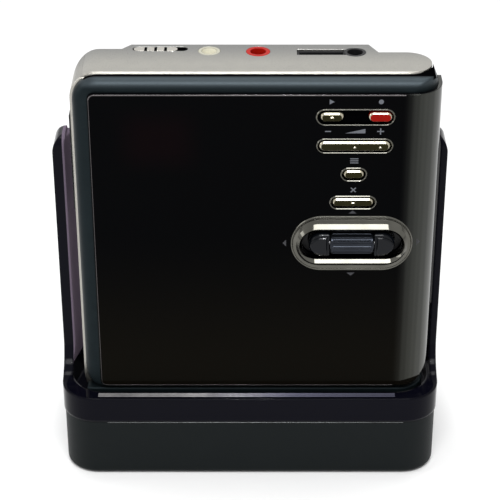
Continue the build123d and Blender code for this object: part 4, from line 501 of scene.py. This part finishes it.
def panel_depth(x, z):
    """Y of the panel's face at a point, also where the panel turns round the hinge side."""
    start, towards = Vector((x * MM, -1.0, z * MM)), Vector((0, 1, 0))
    hit, place, _, _ = NODES["front_panel"].ray_cast(start, towards)
    return place.y / MM if hit else FACE


def sign(mesh, points, depth_at=face_depth):
    """A thin flat shape of (x, z) points that lies on a face, whose Y is depth_at of each point."""
    front = loop_of(mesh, [(x, depth_at(x, z) - PRINT_HEIGHT, z) for x, z in points])
    back = loop_of(mesh, [(x, depth_at(x, z) + PRINT_DEPTH, z) for x, z in points])
    skin(mesh, [front, back])


def strokes(mesh, x, z, lines, wide):
    """Straight strokes of a sign, each (x, z, x, z) from one end to the other about its middle."""
    for x0, z0, x1, z1 in lines:
        dx, dz = x1 - x0, z1 - z0
        size = math.hypot(dx, dz)
        ax, az = -dz / size * wide / 2, dx / size * wide / 2
        sign(mesh, [(x + x0 + ax, z + z0 + az), (x + x1 + ax, z + z1 + az),
                    (x + x1 - ax, z + z1 - az), (x + x0 - ax, z + z0 - az)])


def add_piece(name, mesh, body, finishes, replaced=None, crease=28):
    """Turns a bmesh into an object that rides on a body and takes its finishes."""
    bmesh.ops.recalc_face_normals(mesh, faces=mesh.faces)
    data = bpy.data.meshes.new(name)
    mesh.to_mesh(data)
    mesh.free()
    data.polygons.foreach_set("use_smooth", [True] * len(data.polygons))
    data.set_sharp_from_angle(angle=math.radians(crease))
    piece = bpy.data.objects.new(name, data)
    bpy.context.scene.collection.objects.link(piece)
    for finish in finishes:
        data.materials.append(MATERIALS[finish])
    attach(piece, body)
    if replaced:
        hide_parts(replaced)


# Pieces

def add_keys():
    """Key caps with a broad bevel in a brighter finish, a painted highlight, and nibs to feel on
    three of them, which take that finish too.
    """
    flange = 1.0  # of the solid, which the recess hides
    broad_bevel, thin_bevel = 0.36, 0.26
    # Steps of the bevel and of the nibs that take the bright finish: painted highlight
    painted_highlight_steps, nib_highlight_steps = (1, 2), (1,)
    for node, body, slot in KEYS:
        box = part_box(node)
        front = in_mm(box)[0].y
        x, z, length, width = pill_of(box)
        length, width = length - flange, width - flange
        bevel = thin_bevel if node == "record_button" else broad_bevel
        section = [(0.0, front + 2.2), (0.0, front + bevel + 0.14), (0.05, front + bevel + 0.08),
                   (bevel + 0.05, front + 0.10), (bevel + 0.13, front + 0.05),
                   (bevel + 0.3, front + 0.02), (bevel + 0.55, front)]
        mesh = bmesh.new()
        sweep(mesh, pill_path(x, z, length, width), section, second_finish=painted_highlight_steps)
        if node == "volume_rocker":
            nib = [(0.0, front + 0.1), (0.05, front - 0.02), (0.22, front - 0.18)]
            for spot in (0.0, length / 2 - 2.2):
                sweep(mesh, pill_path(x + spot, z - 0.2, 0.7, 0.7, 8), nib, second_finish=nib_highlight_steps)
        if node in ("play_button", "cancel_button"):
            nib = [(0.0, front + 0.1), (0.03, front - 0.02), (0.15, front - 0.12)]
            sweep(mesh, pill_path(x, z, 0.9, 0.5, 8), nib, second_finish=nib_highlight_steps)
        add_piece(node + "_cap", mesh, body, (slot, "bevel_bright"), node, crease=14)


def add_rims():
    """Rounded rims of the key recesses."""
    section = [(0.0, FACE + 0.85), (0.0, FACE - 0.02), (0.16, FACE - 0.18), (0.2, FACE - 0.19),
               (0.34, FACE - 0.05), (0.36, FACE + 0.85)]
    mesh = bmesh.new()
    for z, length, width in KEY_RIMS:
        sweep(mesh, pill_path(KEY_X, z, length, width), section, closed=True)
    add_piece("key_rims", mesh, "lid", ("key_rim",), "key_bezels", crease=14)


def add_jog_ring():
    """Chrome ring round the jog: rim, groove, raised band and a dish that falls to the slot."""
    x, z, length, width = pill_of(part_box("jog_bezel"))
    mesh = bmesh.new()
    loops = []
    for inset, rise in RING_SECTION:
        outline = pill_path(x, z, length - 2 * inset * RING_END_SHARE, width - 2 * inset, 40)
        loops.append(loop_of(mesh, [(px, FACE - rise, pz) for px, pz, _, _ in outline]))
    skin(mesh, loops, closed=True, second_finish=RING_RIM_STEPS)
    finishes = ("chrome_trim", "key_rim")
    add_piece("jog_ring", mesh, "lid", finishes, "jog_bezel", crease=12)


def add_jog_pads():
    """Raised D-shaped pads on the two blocks at the roller's ends."""
    wide, tall = 3.3, 2.3  # half axes of their round ends
    outer_gap, roller_gap = 0.7, 0.6
    low, high = in_mm(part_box("jog_yoke"))
    roller_low, roller_high = in_mm(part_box("jog_roller"))
    z, front = (low.z + high.z) / 2, low.y
    section = [(0.0, front + 0.1), (0.0, front - 0.02), (0.3, front - 0.3), (0.34, front - 0.32)]
    mesh = bmesh.new()
    for side, outer, flat in ((-1, low.x, roller_low.x), (1, high.x, roller_high.x)):
        middle = outer - side * (outer_gap + wide)
        path = []
        for step in range(25):
            turn = math.radians(90 - 7.5 * step)
            out = Vector((side * math.cos(turn) / wide, math.sin(turn) / tall)).normalized()
            path.append((middle + side * wide * math.cos(turn), z + tall * math.sin(turn), *out))
        edge = flat + side * roller_gap
        path += [(edge, z - tall, -side, -1), (edge, z + tall, -side, 1)]
        sweep(mesh, path, section)
    add_piece("jog_pads", mesh, "jog_press", ("yoke_black",), crease=14)


def add_key_signs():
    """Plain signs over the keys: a dot, a triangle, a minus, a wedge, a plus, bars and a cross."""
    x = KEY_X
    rows = (96.8, 89.75, 82.6, 75.4)  # heights of the middles of the signs, from the top
    plus = [(-0.75, 0, 0.75, 0), (0, 0.14, 0, 0.75), (0, -0.75, 0, -0.14)]
    bars = [(-0.9, 0.5, 0.9, 0.5), (-0.9, 0, 0.9, 0), (-0.9, -0.5, 0.9, -0.5)]
    cross = [(-0.55, -0.55, 0.55, 0.55), (-0.55, 0.55, -0.1, 0.1), (0.1, -0.1, 0.55, -0.55)]
    mesh = bmesh.new()
    sign(mesh, arc(x + 5.4, rows[0], 0.55, 0, 360, 20)[:-1])
    sign(mesh, [(x - 5.7, 96.2), (x - 5.7, 97.4), (x - 4.6, rows[0])])
    strokes(mesh, x - 5.9, rows[1], [(-0.65, 0, 0.65, 0)], 0.26)
    sign(mesh, [(x - 2.2, 89.3), (x + 2.2, 89.3), (x + 2.2, 90.35)])
    strokes(mesh, x + 5.5, rows[1], plus, 0.28)
    strokes(mesh, x, rows[2], bars, 0.24)
    strokes(mesh, x, rows[3], cross, 0.26)
    add_piece("panel_signs", mesh, "lid", ("mark_grey",))


def add_jog_arrows():
    """Four printed arrows round the jog. The right one lies where the panel begins to turn."""
    low, high = in_mm(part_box("jog_bezel"))
    z = (low.z + high.z) / 2
    half, half_side, long = 0.9, 0.85, 0.8
    # the base of each arrow, clear of the ring
    left, right, below, above = low.x - 1.0, high.x + 0.9, low.z - 0.7, high.z + 0.55
    mesh = bmesh.new()
    for points in (
        [(KEY_X - half, above), (KEY_X + half, above), (KEY_X, above + long)],
        [(KEY_X - half, below), (KEY_X, below - long), (KEY_X + half, below)],
        [(left, z - half_side), (left, z + half_side), (left - long, z)],
        [(right, z + half_side), (right, z - half_side), (right + long, z)],
    ):
        sign(mesh, points, panel_depth)
    add_piece("jog_arrows", mesh, "lid", ("mark_dim",))


def add_lip_strip():
    """Thin ribbed strip that lies on the top of the dock's front lip, clear of the lid's swing. It
    is a painted highlight: a bright piece that stands in for the light the lip's edge catches.
    """
    top, front, left, right = 22.0, -19.1, -35.6, 34.0
    ribs = [(0.0, -0.02), (0.0, 0.02), (0.2, 0.22), (0.5, 0.05), (0.69, 0.24), (1.0, 0.05),
            (1.19, 0.24), (1.5, 0.1), (1.5, -0.02)]
    mesh = bmesh.new()
    bar(mesh, [(front + back, top + rise) for back, rise in ribs], left, right)
    add_piece("lip_strip", mesh, "dock", ("lip_strip",))


def add_base_edge():
    """Fine line along the top edge of the base's front, under the cradle's overhang. It is a
    painted glint: a thin bright piece that stands in for the light that edge catches.
    """
    left, right = -33.6, 36.2
    low, high = in_mm(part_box("dock_base"))
    line = [(0.02, -0.04), (-0.27, -0.31), (-0.2, -0.42), (0.02, -0.5)]
    mesh = bmesh.new()
    bar(mesh, [(low.y + back, high.z + rise) for back, rise in line], left, right)
    add_piece("base_edge_line", mesh, "dock", ("base_line",))


def add_edge_line():
    """Fine bright line along the top, left and bottom edges of the glossy panel. It is a painted
    highlight: a thin metal piece that stands in for the light the panel's edge catches.
    """
    radius, right = 1.2, 33.5
    broad, fine = 0.16, 0.07  # half its width along the top, and elsewhere
    low, high = in_mm(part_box("front_panel"))
    left, bottom, top = low.x + 0.3, low.z + 0.3, high.z - 0.22
    path = [(right, top)] + arc(left + radius, top - radius, radius, 90, 180, 8)
    path += arc(left + radius, bottom + radius, radius, 180, 270, 8) + [(right, bottom)]
    mesh = bmesh.new()
    loops = []
    for i, (x, z) in enumerate(path):
        before, after = path[max(i - 1, 0)], path[min(i + 1, len(path) - 1)]
        dx, dz = after[0] - before[0], after[1] - before[1]
        size = math.hypot(dx, dz)
        out_x, out_z = dz / size, -dx / size
        wide = broad if z > top - 1.0 else fine
        section = [(-wide, FACE + 0.02), (-wide / 2, FACE - 0.03), (wide / 2, FACE - 0.03),
                   (wide, FACE + 0.02)]
        places = [(x + out_x * side, y, z + out_z * side) for side, y in section]
        loops.append(loop_of(mesh, places))
    skin(mesh, loops)
    add_piece("panel_edge_line", mesh, "lid", ("edge_line",))


# Studio

def add_camera():
    data = bpy.data.cameras.new("Camera")
    data.sensor_width = SENSOR
    data.lens = FOCAL_PIXELS / FRAME_PIXELS * SENSOR
    data.clip_start = 0.01
    data.clip_end = 10.0
    camera = bpy.data.objects.new("Camera", data)
    camera.location = CAMERA_PLACE
    camera.rotation_euler = (math.radians(90 - CAMERA_DOWN), 0, 0)
    bpy.context.scene.collection.objects.link(camera)
    bpy.context.scene.camera = camera


def add_lamps():
    for name, place, target, size, power in LAMPS:
        data = bpy.data.lights.new(name, "AREA")
        data.shape = "RECTANGLE"
        data.size, data.size_y = size
        data.energy = power
        lamp = bpy.data.objects.new(name, data)
        lamp.location = place
        aim = Vector(target) - Vector(place)
        lamp.rotation_euler = aim.to_track_quat("-Z", "Y").to_euler()
        bpy.context.scene.collection.objects.link(lamp)


def add_world():
    """Soft light from all round, which the camera, gloss and glass see as plain white."""
    world = bpy.data.worlds.new("Studio")
    world.use_nodes = True
    tree = world.node_tree
    tree.nodes.clear()
    output = tree.nodes.new("ShaderNodeOutputWorld")
    path = tree.nodes.new("ShaderNodeLightPath")
    seen = calculate(tree, "MAXIMUM", path.outputs["Is Camera Ray"], path.outputs["Is Glossy Ray"])
    seen = calculate(tree, "MAXIMUM", seen, path.outputs["Is Transmission Ray"])
    mix = tree.nodes.new("ShaderNodeMixShader")
    tree.links.new(seen, mix.inputs[0])
    for strength, socket in ((WORLD_STRENGTH, mix.inputs[1]), (1.0, mix.inputs[2])):
        background = tree.nodes.new("ShaderNodeBackground")
        background.inputs["Color"].default_value = (1, 1, 1, 1)
        background.inputs["Strength"].default_value = strength
        tree.links.new(background.outputs[0], socket)
    tree.links.new(mix.outputs[0], output.inputs[0])
    bpy.context.scene.world = world


def add_floor():
    """A pale floor that keeps the object's shadow."""
    mesh = bpy.data.meshes.new("Floor")
    half = FLOOR_HALF
    points = [(-half, -half, 0), (half, -half, 0), (half, half, 0), (-half, half, 0)]
    mesh.from_pydata(points, [], [(0, 1, 2, 3)])
    floor = bpy.data.objects.new("Floor", mesh)
    bpy.context.scene.collection.objects.link(floor)
    material, tree, shader = new_material("Pale floor")
    colour = mix_colours(tree, (0.93, 0.93, 0.93, 1), (0.95, 0.95, 0.95, 1), noise(tree, 60))
    tree.links.new(colour, shader.inputs["Base Color"])
    shader.inputs["Roughness"].default_value = 0.9
    shader.inputs["Specular IOR Level"].default_value = 0.1
    mesh.materials.append(material)


bpy.context.scene.view_settings.view_transform = "Standard"
dress_nodes()
add_keys()
add_rims()
add_jog_ring()
add_jog_pads()
add_key_signs()
add_jog_arrows()
add_lip_strip()
add_base_edge()
add_edge_line()
add_camera()
add_world()
add_floor()
add_lamps()
